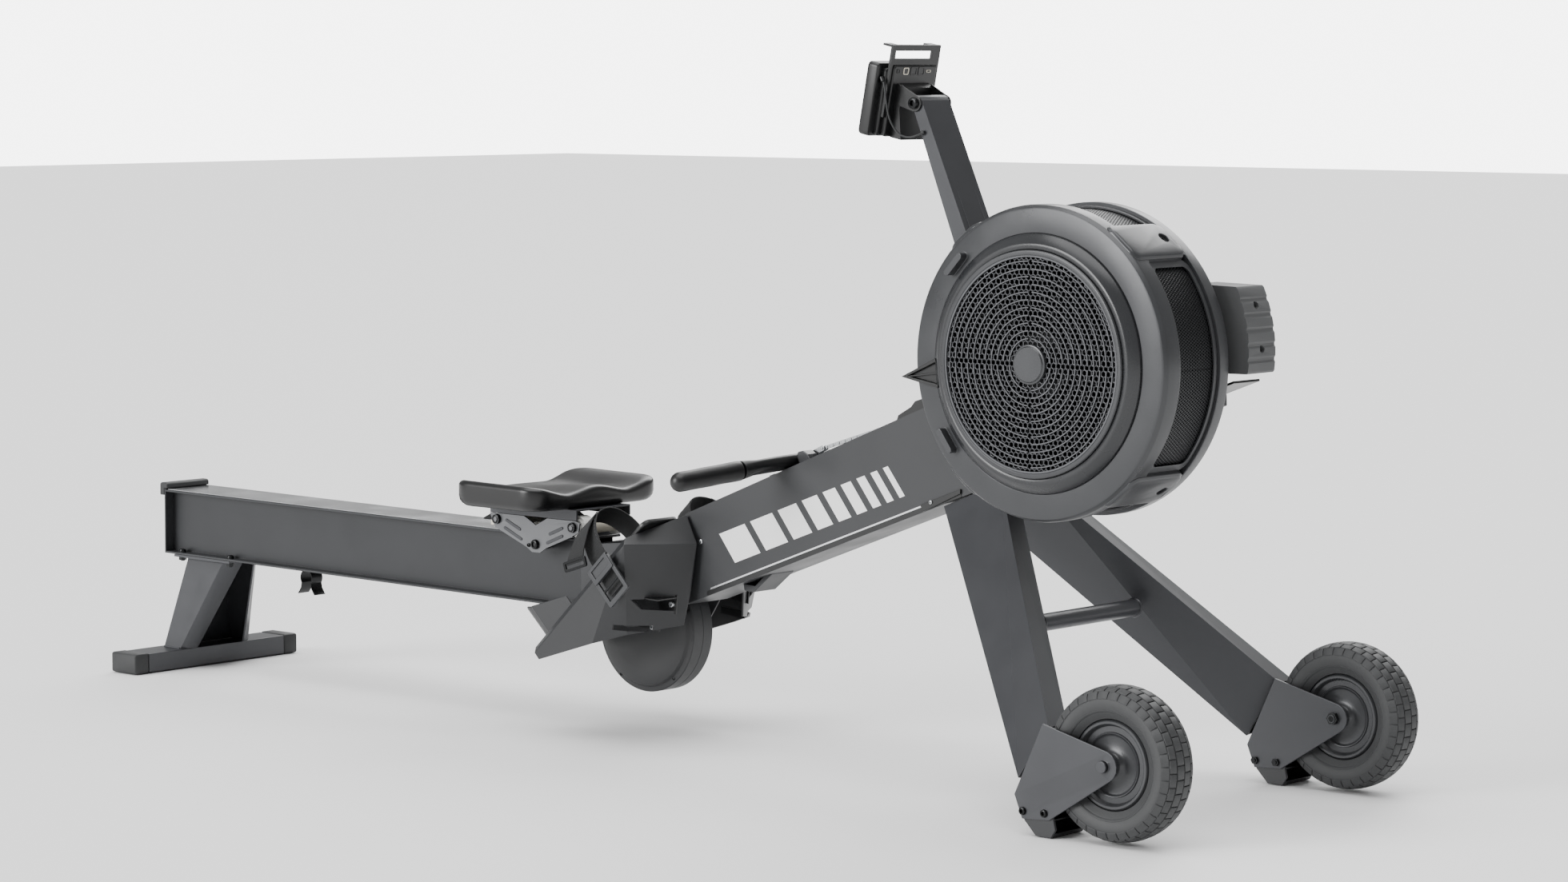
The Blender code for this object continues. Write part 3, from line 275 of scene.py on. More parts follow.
class Shape:
    """Closed bodies gathered into one mesh."""

    def __init__(self):
        self.mesh = bmesh.new()

    def skin(self, rings, place=HERE, capped=True, looped=False):
        rows = [[self.mesh.verts.new(place @ Vector(p)) for p in ring] for ring in rings]
        pairs = list(zip(rows, rows[1:])) + ([(rows[-1], rows[0])] if looped else [])
        for lower, upper in pairs:
            for i in range(len(lower)):
                j = (i + 1) % len(lower)
                self.mesh.faces.new((lower[i], lower[j], upper[j], upper[i]))
        if capped and not looped:
            self.mesh.faces.new(list(reversed(rows[0])))
            self.mesh.faces.new(rows[-1])
        return self

    def box(self, low, high, place=HERE):
        (a, b, c), (d, e, f) = low, high
        return self.skin([[(a, b, z), (d, b, z), (d, e, z), (a, e, z)] for z in (c, f)], place)

    def prism(self, outline, low, high, place=XZ):
        """An outline in local X and Y swept along local Z."""
        return self.skin([[(u, v, w) for u, v in outline] for w in (low, high)], place)

    def frame(self, outer, inner, low, high, place=XZ):
        """A flat ring between two outlines with the same number of points."""
        rings = [[(*p, low) for p in outer], [(*p, high) for p in outer],
                 [(*p, high) for p in inner], [(*p, low) for p in inner]]
        return self.skin(rings, place, looped=True)

    def turn(self, profile, place=HERE, steps=64, closed=False):
        """A profile of (radius, height) turned about local Z."""
        rings = []
        for i in range(steps):
            a = 2 * pi * i / steps
            rings.append([(r * cos(a), r * sin(a), h) for r, h in profile])
        verts = [[self.mesh.verts.new(place @ Vector(p)) for p in ring] for ring in rings]
        count = len(profile)
        for i in range(steps):
            here, after = verts[i], verts[(i + 1) % steps]
            for j in range(count if closed else count - 1):
                k = (j + 1) % count
                if profile[j][0] == 0.0 and profile[k][0] == 0.0:
                    continue
                face = [here[j], here[k], after[k], after[j]]
                if profile[j][0] == 0.0:
                    face = [here[j], here[k], after[k]]
                elif profile[k][0] == 0.0:
                    face = [here[j], here[k], after[j]]
                self.mesh.faces.new(face)
        return self

    def bar(self, start, end, radius, steps=20, edge=0.0):
        """A round bar between two points, with its end edges rounded off by edge."""
        start, end = Vector(start), Vector(end)
        line = end - start
        place = Matrix.Translation(start) @ line.to_track_quat("Z", "Y").to_matrix().to_4x4()
        e, n = edge, line.length
        profile = [(0.0, 0.0), (radius - e, 0.0), (radius, e), (radius, n - e), (radius - e, n), (0.0, n)]
        if not edge:
            profile = [(0.0, 0.0), (radius, 0.0), (radius, n), (0.0, n)]
        return self.turn(profile, place, steps)

    def tube(self, points, radius, steps=12):
        points = [Vector(p) for p in points]
        side = (points[1] - points[0]).orthogonal().normalized()
        rings = []
        for i, point in enumerate(points):
            way = (points[min(i + 1, len(points) - 1)] - points[max(i - 1, 0)]).normalized()
            side = (side - way * side.dot(way)).normalized()
            other = way.cross(side)
            rings.append([point + radius * (cos(2 * pi * k / steps) * side + sin(2 * pi * k / steps) * other)
                          for k in range(steps)])
        return self.skin(rings)

    def screw(self, point, axis, radius, height, socket=0.55):
        """A round screw head standing on point along axis, with a six-sided socket."""
        axis = Vector(axis).normalized()
        place = Matrix.Translation(point) @ axis.to_track_quat("Z", "Y").to_matrix().to_4x4()
        r, h = radius, height
        rings = []
        for q, z, sides in ((r, -0.0004, 0), (r, h * 0.45, 0), (r * 0.90, h * 0.85, 0), (r * 0.72, h, 0),
                            (r * socket, h, 6), (r * socket, h * 0.25, 6)):
            ring = []
            for k in range(24):
                a = 2 * pi * k / 24
                reach = q
                if sides:
                    part = 2 * pi / sides
                    reach = q * cos(part / 2) / cos((a % part) - part / 2)
                ring.append((reach * cos(a), reach * sin(a), z))
            rings.append(ring)
        return self.skin(rings, place)

    def nut(self, point, axis, radius, height):
        axis = Vector(axis).normalized()
        place = Matrix.Translation(point) @ axis.to_track_quat("Z", "Y").to_matrix().to_4x4()
        ring = arc((0, 0), radius, 0, 360, 6)[:-1]
        self.prism(ring, 0.0, height, place)
        tip = [(0, height - 0.001), (radius * 0.5, height - 0.001), (radius * 0.5, height + 0.0015),
               (0, height + 0.0015)]
        return self.turn(tip, place, 16)

    def done(self, name, body, coat, slot=None, bevel=0.0, segments=2, smooth=35, levels=0, both=False,
             replaces=()):
        """Make the object and let it ride. With both, a mirrored left-hand one is made too."""
        bmesh.ops.remove_doubles(self.mesh, verts=self.mesh.verts, dist=0.0000005)
        bmesh.ops.recalc_face_normals(self.mesh, faces=self.mesh.faces)
        mesh = bpy.data.meshes.new(name)
        self.mesh.to_mesh(mesh)
        self.mesh.free()
        made = [dress(mesh, name, body, coat, bevel, segments, smooth, levels, replaces)]
        if both:
            other = mesh.copy()
            other.transform(Matrix.Scale(-1.0, 4, (0, 1, 0)))
            other.flip_normals()
            made.append(dress(other, name.replace("_right", "_left"), body.replace("_right", "_left"), coat,
                              bevel, segments, smooth, levels,
                              [n.replace("_right", "_left") for n in replaces]))
        return made[0]


def dress(mesh, name, body, coat, bevel, segments, smooth, levels, replaces):
    made = bpy.data.objects.new(name, mesh)
    bpy.context.scene.collection.objects.link(made)
    mesh.materials.clear()
    mesh.materials.append(coat)
    mesh.shade_smooth()
    mesh.set_sharp_from_angle(angle=radians(smooth))
    if bevel:
        rounding = made.modifiers.new("rounding", "BEVEL")
        rounding.width = bevel
        rounding.segments = segments
        rounding.limit_method = "ANGLE"
        rounding.angle_limit = radians(28)
        rounding.harden_normals = True
    if levels:
        rounding = made.modifiers.new("smooth", "SUBSURF")
        rounding.levels = levels
        rounding.render_levels = levels
    if body:
        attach(made, body)
    if replaces:
        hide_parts(*replaces)
    return made


def carry(node, coat, bevel=0.0008, segments=2, smooth=35):
    """A piece with a CAD node's own shape, its edges broken by a small rounding."""
    source = NODES[node]
    shape = bmesh.new()
    shape.from_mesh(source.data)
    bmesh.ops.remove_doubles(shape, verts=shape.verts, dist=0.000002)
    bmesh.ops.dissolve_limit(shape, angle_limit=radians(0.4), verts=shape.verts, edges=shape.edges)
    mesh = bpy.data.meshes.new(node + "_surface")
    shape.to_mesh(mesh)
    shape.free()
    return dress(mesh, node + "_surface", source["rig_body"], coat, bevel, segments, smooth, 0, [node])


def subtract(target, cutter):
    """Cut one shape out of a piece."""
    step = target.modifiers.new("cut", "BOOLEAN")
    step.operation = "DIFFERENCE"
    step.solver = "EXACT"
    step.object = cutter
    target.modifiers.move(len(target.modifiers) - 1, 0)
    bpy.context.view_layer.update()
    source = target.evaluated_get(bpy.context.evaluated_depsgraph_get())
    keep = [m for m in target.modifiers if m != step]
    for m in keep:
        m.show_viewport = False
    bpy.context.view_layer.update()
    source = target.evaluated_get(bpy.context.evaluated_depsgraph_get())
    mesh = bpy.data.meshes.new_from_object(source)
    target.modifiers.remove(step)
    target.data = mesh
    for m in keep:
        m.show_viewport = True
    bpy.data.objects.remove(cutter, do_unlink=True)
    mesh.shade_smooth()
    mesh.set_sharp_from_angle(angle=radians(35))


def cutter(shape):
    """A loose object of the shape, to be subtracted."""
    bmesh.ops.recalc_face_normals(shape.mesh, faces=shape.mesh.faces)
    mesh = bpy.data.meshes.new("cutter")
    shape.mesh.to_mesh(mesh)
    shape.mesh.free()
    made = bpy.data.objects.new("cutter", mesh)
    bpy.context.scene.collection.objects.link(made)
    return made


def honeycomb(name, body, coat, centres, pitch, hole, depth, warp):
    """A sheet pierced with six-sided holes. warp places a flat point on its surface."""
    shape = bmesh.new()
    outer, corners = pitch / sqrt(3), [radians(30 + 60 * k) for k in range(6)]
    found = {}

    def corner(u, v):
        key = (round(u / pitch * 12), round(v / pitch * 12))
        if key not in found:
            found[key] = shape.verts.new(warp(u, v))
        return found[key]

    for u, v in centres:
        rim = [corner(u + outer * cos(a), v + outer * sin(a)) for a in corners]
        edge = [shape.verts.new(warp(u + hole * cos(a), v + hole * sin(a))) for a in corners]
        for k in range(6):
            j = (k + 1) % 6
            shape.faces.new((rim[k], rim[j], edge[j], edge[k]))
    bmesh.ops.recalc_face_normals(shape, faces=shape.faces)
    mesh = bpy.data.meshes.new(name)
    shape.to_mesh(mesh)
    shape.free()
    made = dress(mesh, name, body, coat, 0, 2, 35, 0, ())
    wall = made.modifiers.new("wall", "SOLIDIFY")
    wall.thickness = depth
    wall.offset = 0.0
    return made


def about_y(x, y, z):
    """A frame at x, y, z whose local Z is world -Y and whose local X is world X."""
    return Matrix.Translation((x, y, z)) @ Matrix.Rotation(pi / 2, 4, "X")


# ---------------------------------------------------------------- rail, rear stand, clip
def rail_group():
    carry("rail", RAIL_COAT, 0.0009)
    carry("rail_track", STAINLESS, 0.0005)
    carry("rail_end_plate", RAIL_COAT, 0.0007)
    carry("rail_bumper", RUBBER, 0.0025, 3)
    screws = Shape()
    for y in (-0.0395, 0.0395):
        for z in (-0.0130, -0.1035):
            screws.screw(RAIL @ Vector((-0.0002, y, z)), (-1, 0, 0), 0.0046, 0.0026)
    screws.done("rail_end_screws", "frame", BLACK_STEEL, "plated_steel")

    carry("rear_leg", COATED, 0.0010)
    carry("rear_foot_bar", COATED, 0.0012)
    for side in ("right", "left"):
        carry(f"rear_foot_cap_{side}", RUBBER, 0.0012)
    bolts = Shape()
    for x in (0.040, 0.171):
        for y in (-0.0405, 0.0405):
            bolts.screw(RAIL @ Vector((x, y, -0.1124)), (0, 0, 1), 0.0064, 0.0055)
            bolts.nut(RAIL @ Vector((x, y, -0.1210)), (0, 0, -1), 0.0072, 0.0055)
    bolts.done("rear_stand_bolts", "frame", BLACK_STEEL, "plated_steel")
    weld = Shape()
    for sign in (-1, 1):
        weld.tube([(-1.160, sign * 0.0405, 0.1935), (-1.070, sign * 0.0405, 0.1935)], 0.0018, 8)
        weld.tube([(-1.183, sign * 0.0795, 0.0352), (-1.140, sign * 0.0795, 0.0352)], 0.0018, 8)
    weld.done("rear_leg_welds", "frame", COATED, "painted_frame")

    plate = Shape().box((0.286, -0.025, -0.1198), (0.389, 0.025, -0.1168), RAIL)
    plate.done("storage_clip_plate", "frame", COATED, "painted_frame", bevel=0.0007)
    centre = (-0.875, 0.1782)
    lips = [(centre[0] + 0.0215, 0.1490), (centre[0] + 0.0200, 0.1500), (centre[0] + 0.0125, 0.1600)]
    path = lips + arc(centre, 0.0136, -38, 218, 32) + [(2 * centre[0] - x, z) for x, z in reversed(lips)]
    clip = Shape().prism(thicken(path, -0.0016), -0.0125, 0.0125)
    clip.done("storage_clip_spring", "frame", BLACK_STEEL, "plated_steel", bevel=0.0004,
              replaces=["storage_clip"])
    Shape().screw((centre[0], 0.0, 0.1903), (0, 0, -1), 0.0040, 0.0020).screw(
        (centre[0] + 0.036, 0.0, 0.1929), (0, 0, -1), 0.0045, 0.0030).screw(
        (centre[0] - 0.038, 0.0, 0.1935), (0, 0, -1), 0.0045, 0.0030).done(
        "storage_clip_screws", "frame", BLACK_STEEL, "plated_steel")


# ---------------------------------------------------------------- seat
def blend(t, low, high):
    """0 at low, 1 at high, easing in and out."""
    t = max(0.0, min(1.0, (t - low) / (high - low)))
    return t * t * (3 - 2 * t)


def seat_height(u, v):
    """Top of the pad: raised sides, two hollows, a low ridge at the front and a low rear middle.
    u runs from 0 at the rear to 1 at the front, v from -1 to 1 across."""
    side = 0.3985 - 0.0030 * u
    dip = 0.0185 - 0.0035 * u
    ridge = 0.0100 * blend(u, 0.10, 0.95)
    across = abs(v)
    top = side - dip * (1 - blend(across, 0.42, 0.98))
    top += ridge * (1 - blend(across, 0.0, 0.48))
    hollow = 2.718 ** -(((u - 0.45) / 0.30) ** 2)
    top -= 0.0050 * hollow * 2.718 ** -(((across - 0.46) / 0.24) ** 2)
    return top


def seat_group():
    low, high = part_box("seat_pad")
    middle, half = (low + high) / 2, (high - low) / 2
    outline = rounded((-half.x, -half.y), (half.x, half.y), 0.036, 9)
    fine = []
    for a, b in zip(outline, outline[1:] + outline[:1]):
        count = max(1, round(hypot(b[0] - a[0], b[1] - a[1]) / 0.007))
        fine += [(a[0] + (b[0] - a[0]) * i / count, a[1] + (b[1] - a[1]) * i / count) for i in range(count)]

    def ring(scale, drop=0.0, level=None, inset=0.0):
        made = []
        for x, y in fine:
            bulge = 1 - inset / 0.10
            px, py = middle.x + x * scale * bulge, y * scale * (1 - inset / 0.149)
            u, v = (px - low.x) / (high.x - low.x), py / half.y
            made.append((px, py, level if level is not None else seat_height(u, v) - drop))
        return made

    edge = 0.0090
    rings = [ring(s) for s in (0.02, 0.12, 0.22, 0.32, 0.42, 0.52, 0.62, 0.71, 0.79, 0.86)]
    for k in range(1, 7):
        a = pi / 2 * k / 6
        rings.append(ring(1.0, edge * (1 - cos(a)), inset=edge * (1 - sin(a))))
    rings += [ring(1.0, level=0.3720), ring(1.0, level=0.3650, inset=0.0012),
              ring(1.0, level=0.3595, inset=0.0045),
              ring(1.0, level=0.3560, inset=0.0085), ring(1.0, level=0.3550, inset=0.0120),
              ring(0.5, level=0.3550)]
    pad = Shape().skin(rings).done("seat_cushion", "seat", SEAT, "seat_foam", smooth=60,
                                   replaces=["seat_pad"])

    carry("seat_pan", COATED, 0.0008)
    ribs, bolts = Shape(), Shape()
    for side, sign in (("right", -1), ("left", 1)):
        carry(f"carriage_plate_{side}", CARRIAGE, 0.0009)
        for a, b in (((-0.3230, 0.3135), (-0.2850, 0.2975)), ((-0.3190, 0.3265), (-0.2880, 0.3135)),
                     ((-0.2240, 0.2960), (-0.1900, 0.3095)), ((-0.2180, 0.3110), (-0.1900, 0.3225))):
            ends = sorted((sign * 0.0634, sign * 0.0648))
            ribs.prism(capsule(a, b, 0.0026), *ends)
        for x, z in ((-0.3410, 0.3270), (-0.1655, 0.3255)):
            bolts.screw((x, sign * 0.0632, z), (0, sign, 0), 0.0086, 0.0066)
        bolts.screw((-0.2510, sign * 0.0632, 0.2915), (0, sign, 0), 0.0082, 0.0060)
        bolts.screw((-0.2670, sign * 0.0632, 0.2890), (0, sign, 0), 0.0034, 0.0028)
    ribs.done("carriage_ribs", "seat", COATED, "painted_frame", bevel=0.0006)
    bolts.done("carriage_bolts", "seat", BLACK_STEEL, "plated_steel")

    for name, node in (("front", "roller_front"), ("rear", "roller_rear")):
        low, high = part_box(node)
        place = about_y((low.x + high.x) / 2, 0.0, (low.z + high.z) / 2)
        tread, sleeve = Shape(), Shape()
        for sign in (-1, 1):
            half = [(0.0052, 0.0295), (0.0129, 0.0295), (0.0150, 0.0300), (0.0180, 0.0306), (0.0184, 0.0316),
                    (0.0184, 0.0505), (0.0180, 0.0515), (0.0140, 0.0520), (0.0125, 0.0535), (0.0090, 0.0540),
                    (0.0052, 0.0590)]
            tread.turn([(r, sign * h) for r, h in half], place, 48, closed=True)
        cover = [(0.0129, -0.0292), (0.0129, -0.0240), (0.0124, -0.0236), (0.0124, -0.0226),
                 (0.0129, -0.0222), (0.0129, 0.0222), (0.0124, 0.0226), (0.0124, 0.0236),
                 (0.0129, 0.0240), (0.0129, 0.0292), (0.0052, 0.0292), (0.0052, -0.0292)]
        sleeve.turn(cover, place, 40, closed=True)
        tread.done(f"roller_treads_{name}", node, TYRE_WHITE, "roller_nylon", replaces=[node])
        sleeve.done(f"roller_sleeve_{name}", node, NYLON, "roller_nylon")
    for side, sign in (("right", -1), ("left", 1)):
        guide = [(0, 0.0335), (0.0085, 0.0335), (0.0100, 0.0350), (0.0100, 0.0470), (0.0092, 0.0478),
                 (0.0070, 0.0480), (0.0070, 0.0601), (0.0045, 0.0601), (0.0045, 0.0670), (0, 0.0670)]
        Shape().turn([(r, -sign * h) for r, h in guide], about_y(-0.251, 0.0, 0.2915), 32).done(
            f"guide_wheel_{side}", f"guide_{side}", DARK_PLASTIC, "black_plastic",
            replaces=[f"guide_roller_{side}"])

    wiper = Shape()
    for sign in (-1, 1):
        ends = sorted((sign * 0.020, sign * 0.047))
        wiper.box((-0.3740, ends[0], 0.3135), (-0.3660, ends[1], 0.3240))
    wiper.done("rail_wiper_felts", "seat", NYLON, "roller_nylon", bevel=0.0012)
    hook = Shape()
    arm = [(-0.3560, 0.3440), (-0.3560, 0.3410), (-0.3890, 0.3250), (-0.3920, 0.3225), (-0.3860, 0.3218),
           (-0.3700, 0.3218), (-0.3700, 0.3260), (-0.3500, 0.3360), (-0.3500, 0.3440)]
    hook.prism(arm, -0.0480, 0.0480)
    hook.done("rail_wiper_bracket", "seat", BLACK_STEEL, "plated_steel", bevel=0.0008)


# ---------------------------------------------------------------- beam
def beam_group():
    carry("main_beam", BEAM_COAT, 0.0022, 3)
    carry("foot_frame", BEAM_COAT, 0.0008)
    painted_highlight, under, marks = Shape(), Shape(), Shape()
    for sign in (-1, 1):
        def strip(shape, x0, x1, up0, up1, thick, start=0.0493):
            ends = sorted((sign * start, sign * (start + thick)))
            outline = [(x0, beam_bottom(x0) + up0), (x1, beam_bottom(x1) + up0),
                       (x1, beam_bottom(x1) + up1), (x0, beam_bottom(x0) + up1)]
            shape.prism(outline, *ends)
        # The thin bright silver strip is a painted highlight: the light line the beam's lower edge chamfer
        # catches, drawn as a silver piece.
        strip(painted_highlight, 0.128, 0.575, 0.0085, 0.0115, 0.0014)
        strip(under, 0.120, 0.640, 0.0004, 0.0084, 0.0010)
        for left, width in ((0.180, 0.054), (0.246, 0.046), (0.304, 0.038), (0.354, 0.031), (0.397, 0.025),
                            (0.434, 0.020), (0.466, 0.016), (0.494, 0.013), (0.519, 0.010)):
            lean, low, high = 0.034, 0.036, 0.092
            outline = [(left, beam_bottom(left) + low), (left + width, beam_bottom(left + width) + low),
                       (left + width - lean, beam_bottom(left + width - lean) + high),
                       (left - lean, beam_bottom(left - lean) + high)]
            marks.prism(outline, *sorted((sign * 0.0494, sign * 0.0497)))
        step = [(0.562, 0.4145), (0.640, 0.4440), (0.640, 0.4370), (0.566, 0.4040)]
        under.prism(step, *sorted((sign * 0.0490, sign * 0.0530)))
    painted_highlight.done("beam_painted_highlight_lines", "frame", PAINTED_HIGHLIGHT, "track_steel", bevel=0.0003)
    under.done("beam_under_cover", "frame", DARK_PLASTIC, "black_plastic", bevel=0.0005)
    marks.done("beam_side_bars", "frame", WHITE, "painted_beam")

    screws = Shape()
    for sign in (-1, 1):
        screws.screw((0.1075, sign * 0.0494, 0.3230), (0, sign, 0), 0.0042, 0.0030)
        screws.screw((0.5830, sign * 0.0529, 0.4200), (0, sign, 0), 0.0032, 0.0020)
    screws.done("beam_side_screws", "frame", STEEL, "plated_steel")
    hook = Shape().prism([(0.1760, 0.2590), (0.1780, 0.2480), (0.1980, 0.2470), (0.2370, 0.2790),
                          (0.2380, 0.2850), (0.2290, 0.2830), (0.2010, 0.2580)], -0.026, 0.026)
    hook.done("beam_under_bracket", "frame", BEAM_COAT, "painted_beam", bevel=0.0012)

    guard = Shape()
    for sign in (-1, 1):
        base = [(0.4840, beam_top(0.4840) + 0.0003), (0.5580, beam_top(0.5580) + 0.0003),
                (0.5560, beam_top(0.5560) + 0.0200), (0.5230, beam_top(0.5230) + 0.0230),
                (0.5150, beam_top(0.5150) + 0.0170), (0.4900, beam_top(0.4900) + 0.0130)]
        guard.prism(base, *sorted((sign * 0.0062, sign * 0.0200)))
    roof = [(0.5200, beam_top(0.5200) + 0.0175), (0.5560, beam_top(0.5560) + 0.0140),
            (0.5560, beam_top(0.5560) + 0.0200), (0.5230, beam_top(0.5230) + 0.0230)]
    guard.prism(roof, -0.0070, 0.0070)
    guard.done("chain_guide_block", "frame", DARK_PLASTIC, "black_plastic", bevel=0.0010,
               replaces=["chain_guide"])
    lip = Shape()
    for s, n, l, h in ((-0.048, -0.0124, 0.012, 0.0052), (-0.033, -0.0124, 0.0100, 0.0040)):
        lip.box((s, -0.030, n), (s + l, 0.030, n + h), GRIP_FRAME)
    for sign in (-1, 1):
        ends = sorted((sign * 0.0085, sign * 0.0300))
        outline = [(0.0190, -0.0124), (0.0440, -0.0124), (0.0420, -0.0010), (0.0340, 0.0075),
                   (0.0230, 0.0088), (0.0196, 0.0040)]
        lip.prism(outline, *ends, GRIP_FRAME @ XZ)
    lip.done("handle_cradle", "frame", HOUSING, "grey_plastic", bevel=0.0012)

    pad = carry("front_bumper", BUMPER, 0.0010)
    holes = Shape()
    for x, z in ((1.1370, 0.737), (1.1460, 0.675)):
        holes.bar((x - 0.016, 0.0, z), (x + 0.05, 0.0, z), 0.0056, 24)
    subtract(pad, cutter(holes))
    Shape().screw((1.1215, 0, 0.737), (1, 0, 0), 0.0048, 0.0030).screw(
        (1.1305, 0, 0.675), (1, 0, 0), 0.0048, 0.0030).done(
        "front_bumper_screws", "frame", BLACK_STEEL, "plated_steel")
    bracket = [(1.0540, 0.6050), (1.1220, 0.6300), (1.1230, 0.6265), (1.0542, 0.6010)]
    Shape().prism(bracket, -0.0325, 0.0325).done(
        "front_bumper_bracket", "frame", DARK_PLASTIC, "painted_beam", bevel=0.0006)


# ---------------------------------------------------------------- chain and handle
def chain_links(shape, route, pitch=0.00635):
    """Roller chain along a line: two inner or two outer plates for each link, rollers and pins."""
    route = [Vector(p) for p in route]
    spots, left = [route[0]], pitch
    for a, b in zip(route, route[1:]):
        span, done = (b - a).length, 0.0
        while span - done >= left:
            done += left
            spots.append(a + (b - a) * done / span)
            left = pitch
        left -= span - done
    for i, (a, b) in enumerate(zip(spots, spots[1:])):
        way = b - a
        place = Matrix.Translation(a) @ frame_at(0, 0, atan2(way.z, way.x))
        inner, outer = (0.0012, 0.0019) if i % 2 else (0.0021, 0.0028)
        for sign in (-1, 1):
            ends = sorted((sign * inner, sign * outer))
            shape.prism(capsule((0, 0), (pitch, 0), 0.0026, 5), *ends, place @ XZ)
        shape.bar(a + Vector((0, -0.0012, 0)), a + Vector((0, 0.0012, 0)), 0.00165, 8)
        shape.bar(a + Vector((0, -0.0032, 0)), a + Vector((0, 0.0032, 0)), 0.0009, 6)


def chain_group():
    start = (HANDLE[0] + 0.0480, 0.0, HANDLE[1] + 0.0230)
    gate = (0.5300, 0.0, 0.5476)
    run = Shape()
    chain_links(run, [start, gate])
    links = run.done("chain_front_run", None, STEEL, "plated_steel", replaces=["chain"])
    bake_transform(links)
    radius, spool = 0.0143, 0.055
    slope = atan2(FAN[1] + radius - gate[2], FAN[0] - gate[0])
    across = hypot(FAN[0] - DISC[0], FAN[1] - DISC[1])
    lower = atan2(FAN[1] - DISC[1], FAN[0] - DISC[0]) - atan((radius + spool) / across)
    route = [gate[::2]] + arc(FAN, radius, 90 + slope * 180 / pi, -90 + lower * 180 / pi, 16)
    reach = spool + 0.004
    along = sqrt(reach ** 2 - spool ** 2)
    end = (DISC[0] - spool * sin(lower) + along * cos(lower),
           DISC[1] + spool * cos(lower) + along * sin(lower))
    rest = Shape()
    chain_links(rest, [(x, 0.0, z) for x, z in route + [end]])
    rest.done("chain_inner_run", "frame", STEEL, "plated_steel")
    carry("drive_sprocket", STEEL, 0.0004)
    carry("recoil_spool", DARK_PLASTIC, 0.0006)


def handle_group():
    rings = []
    for i in range(41):
        y = -0.1203 + 0.2406 * i / 40
        t = abs(y) / 0.1203
        x = -0.0222 * t ** 1.9
        swell = max(0.0, (t - 0.80) / 0.20)
        deep = 0.0172 - 0.0022 * swell
        high = 0.0108 + 0.0042 * swell
        power = 3.0 - 0.9 * swell
        ring = []
        for k in range(32):
            a = 2 * pi * k / 32
            ring.append((x + deep * abs(cos(a)) ** (2 / power) * (1 if cos(a) >= 0 else -1), y,
                         high * abs(sin(a)) ** (2 / power) * (1 if sin(a) >= 0 else -1)))
        rings.append(ring)
    bar = Shape().skin(rings, GRIP_FRAME)
    bar.done("handle_centre_bar", "handle", DARK_PLASTIC, "black_plastic", bevel=0.0008, smooth=50,
             replaces=["handle_bar"])
    start = (-0.0222, 0.1205)
    lean = atan2(0.0580 + start[0], 0.240 - start[1])
    length = hypot(0.0580 + start[0], 0.240 - start[1])
    radius = 0.0155
    profile = [(0.0, 0.0), (radius - 0.0012, 0.0), (radius - 0.0003, 0.0006), (radius, 0.0018)]
    profile += [(radius + 0.0002 * sin(i), 0.0018 + (length - radius - 0.002) * i / 14) for i in range(1, 14)]
    profile += [(radius * cos(a), length - radius + radius * sin(a))
                for a in (pi / 2 * i / 10 for i in range(10))] + [(0.0, length)]
    axis = Vector((-sin(lean), -cos(lean), 0.0))
    place = (GRIP_FRAME @ Matrix.Translation((start[0], -start[1], 0.0))
             @ axis.to_track_quat("Z", "Y").to_matrix().to_4x4())
    grip = Shape().turn(profile, place, 40)
    grip.mesh.verts.ensure_lookup_table()
    bmesh.ops.remove_doubles(grip.mesh, verts=grip.mesh.verts, dist=0.0000005)
    bmesh.ops.recalc_face_normals(grip.mesh, faces=grip.mesh.faces)
    mesh = bpy.data.meshes.new("grip_sleeve_right")
    grip.mesh.to_mesh(mesh)
    other = mesh.copy()
    other.transform(Matrix.Scale(-1.0, 4, (0, 1, 0)))
    other.flip_normals()
    dress(mesh, "grip_sleeve_right", "handle", GRIP, 0, 2, 40, 0, ["grip_right"])
    dress(other, "grip_sleeve_left", "handle", GRIP, 0, 2, 40, 0, ["grip_left"])

    clevis = Shape()
    for sign in (-1, 1):
        ends = sorted((sign * 0.0036, sign * 0.0050))
        clevis.prism(capsule((0.0120, 0.0010), (0.0525, 0.0036), 0.0042), *ends, GRIP_FRAME @ XZ)
    clevis.bar(GRIP_FRAME @ Vector((0.0525, -0.0062, 0.0036)), GRIP_FRAME @ Vector((0.0525, 0.0062, 0.0036)),
               0.0019, 16)
    clevis.done("chain_connector", "handle", STEEL, "plated_steel", bevel=0.0003)


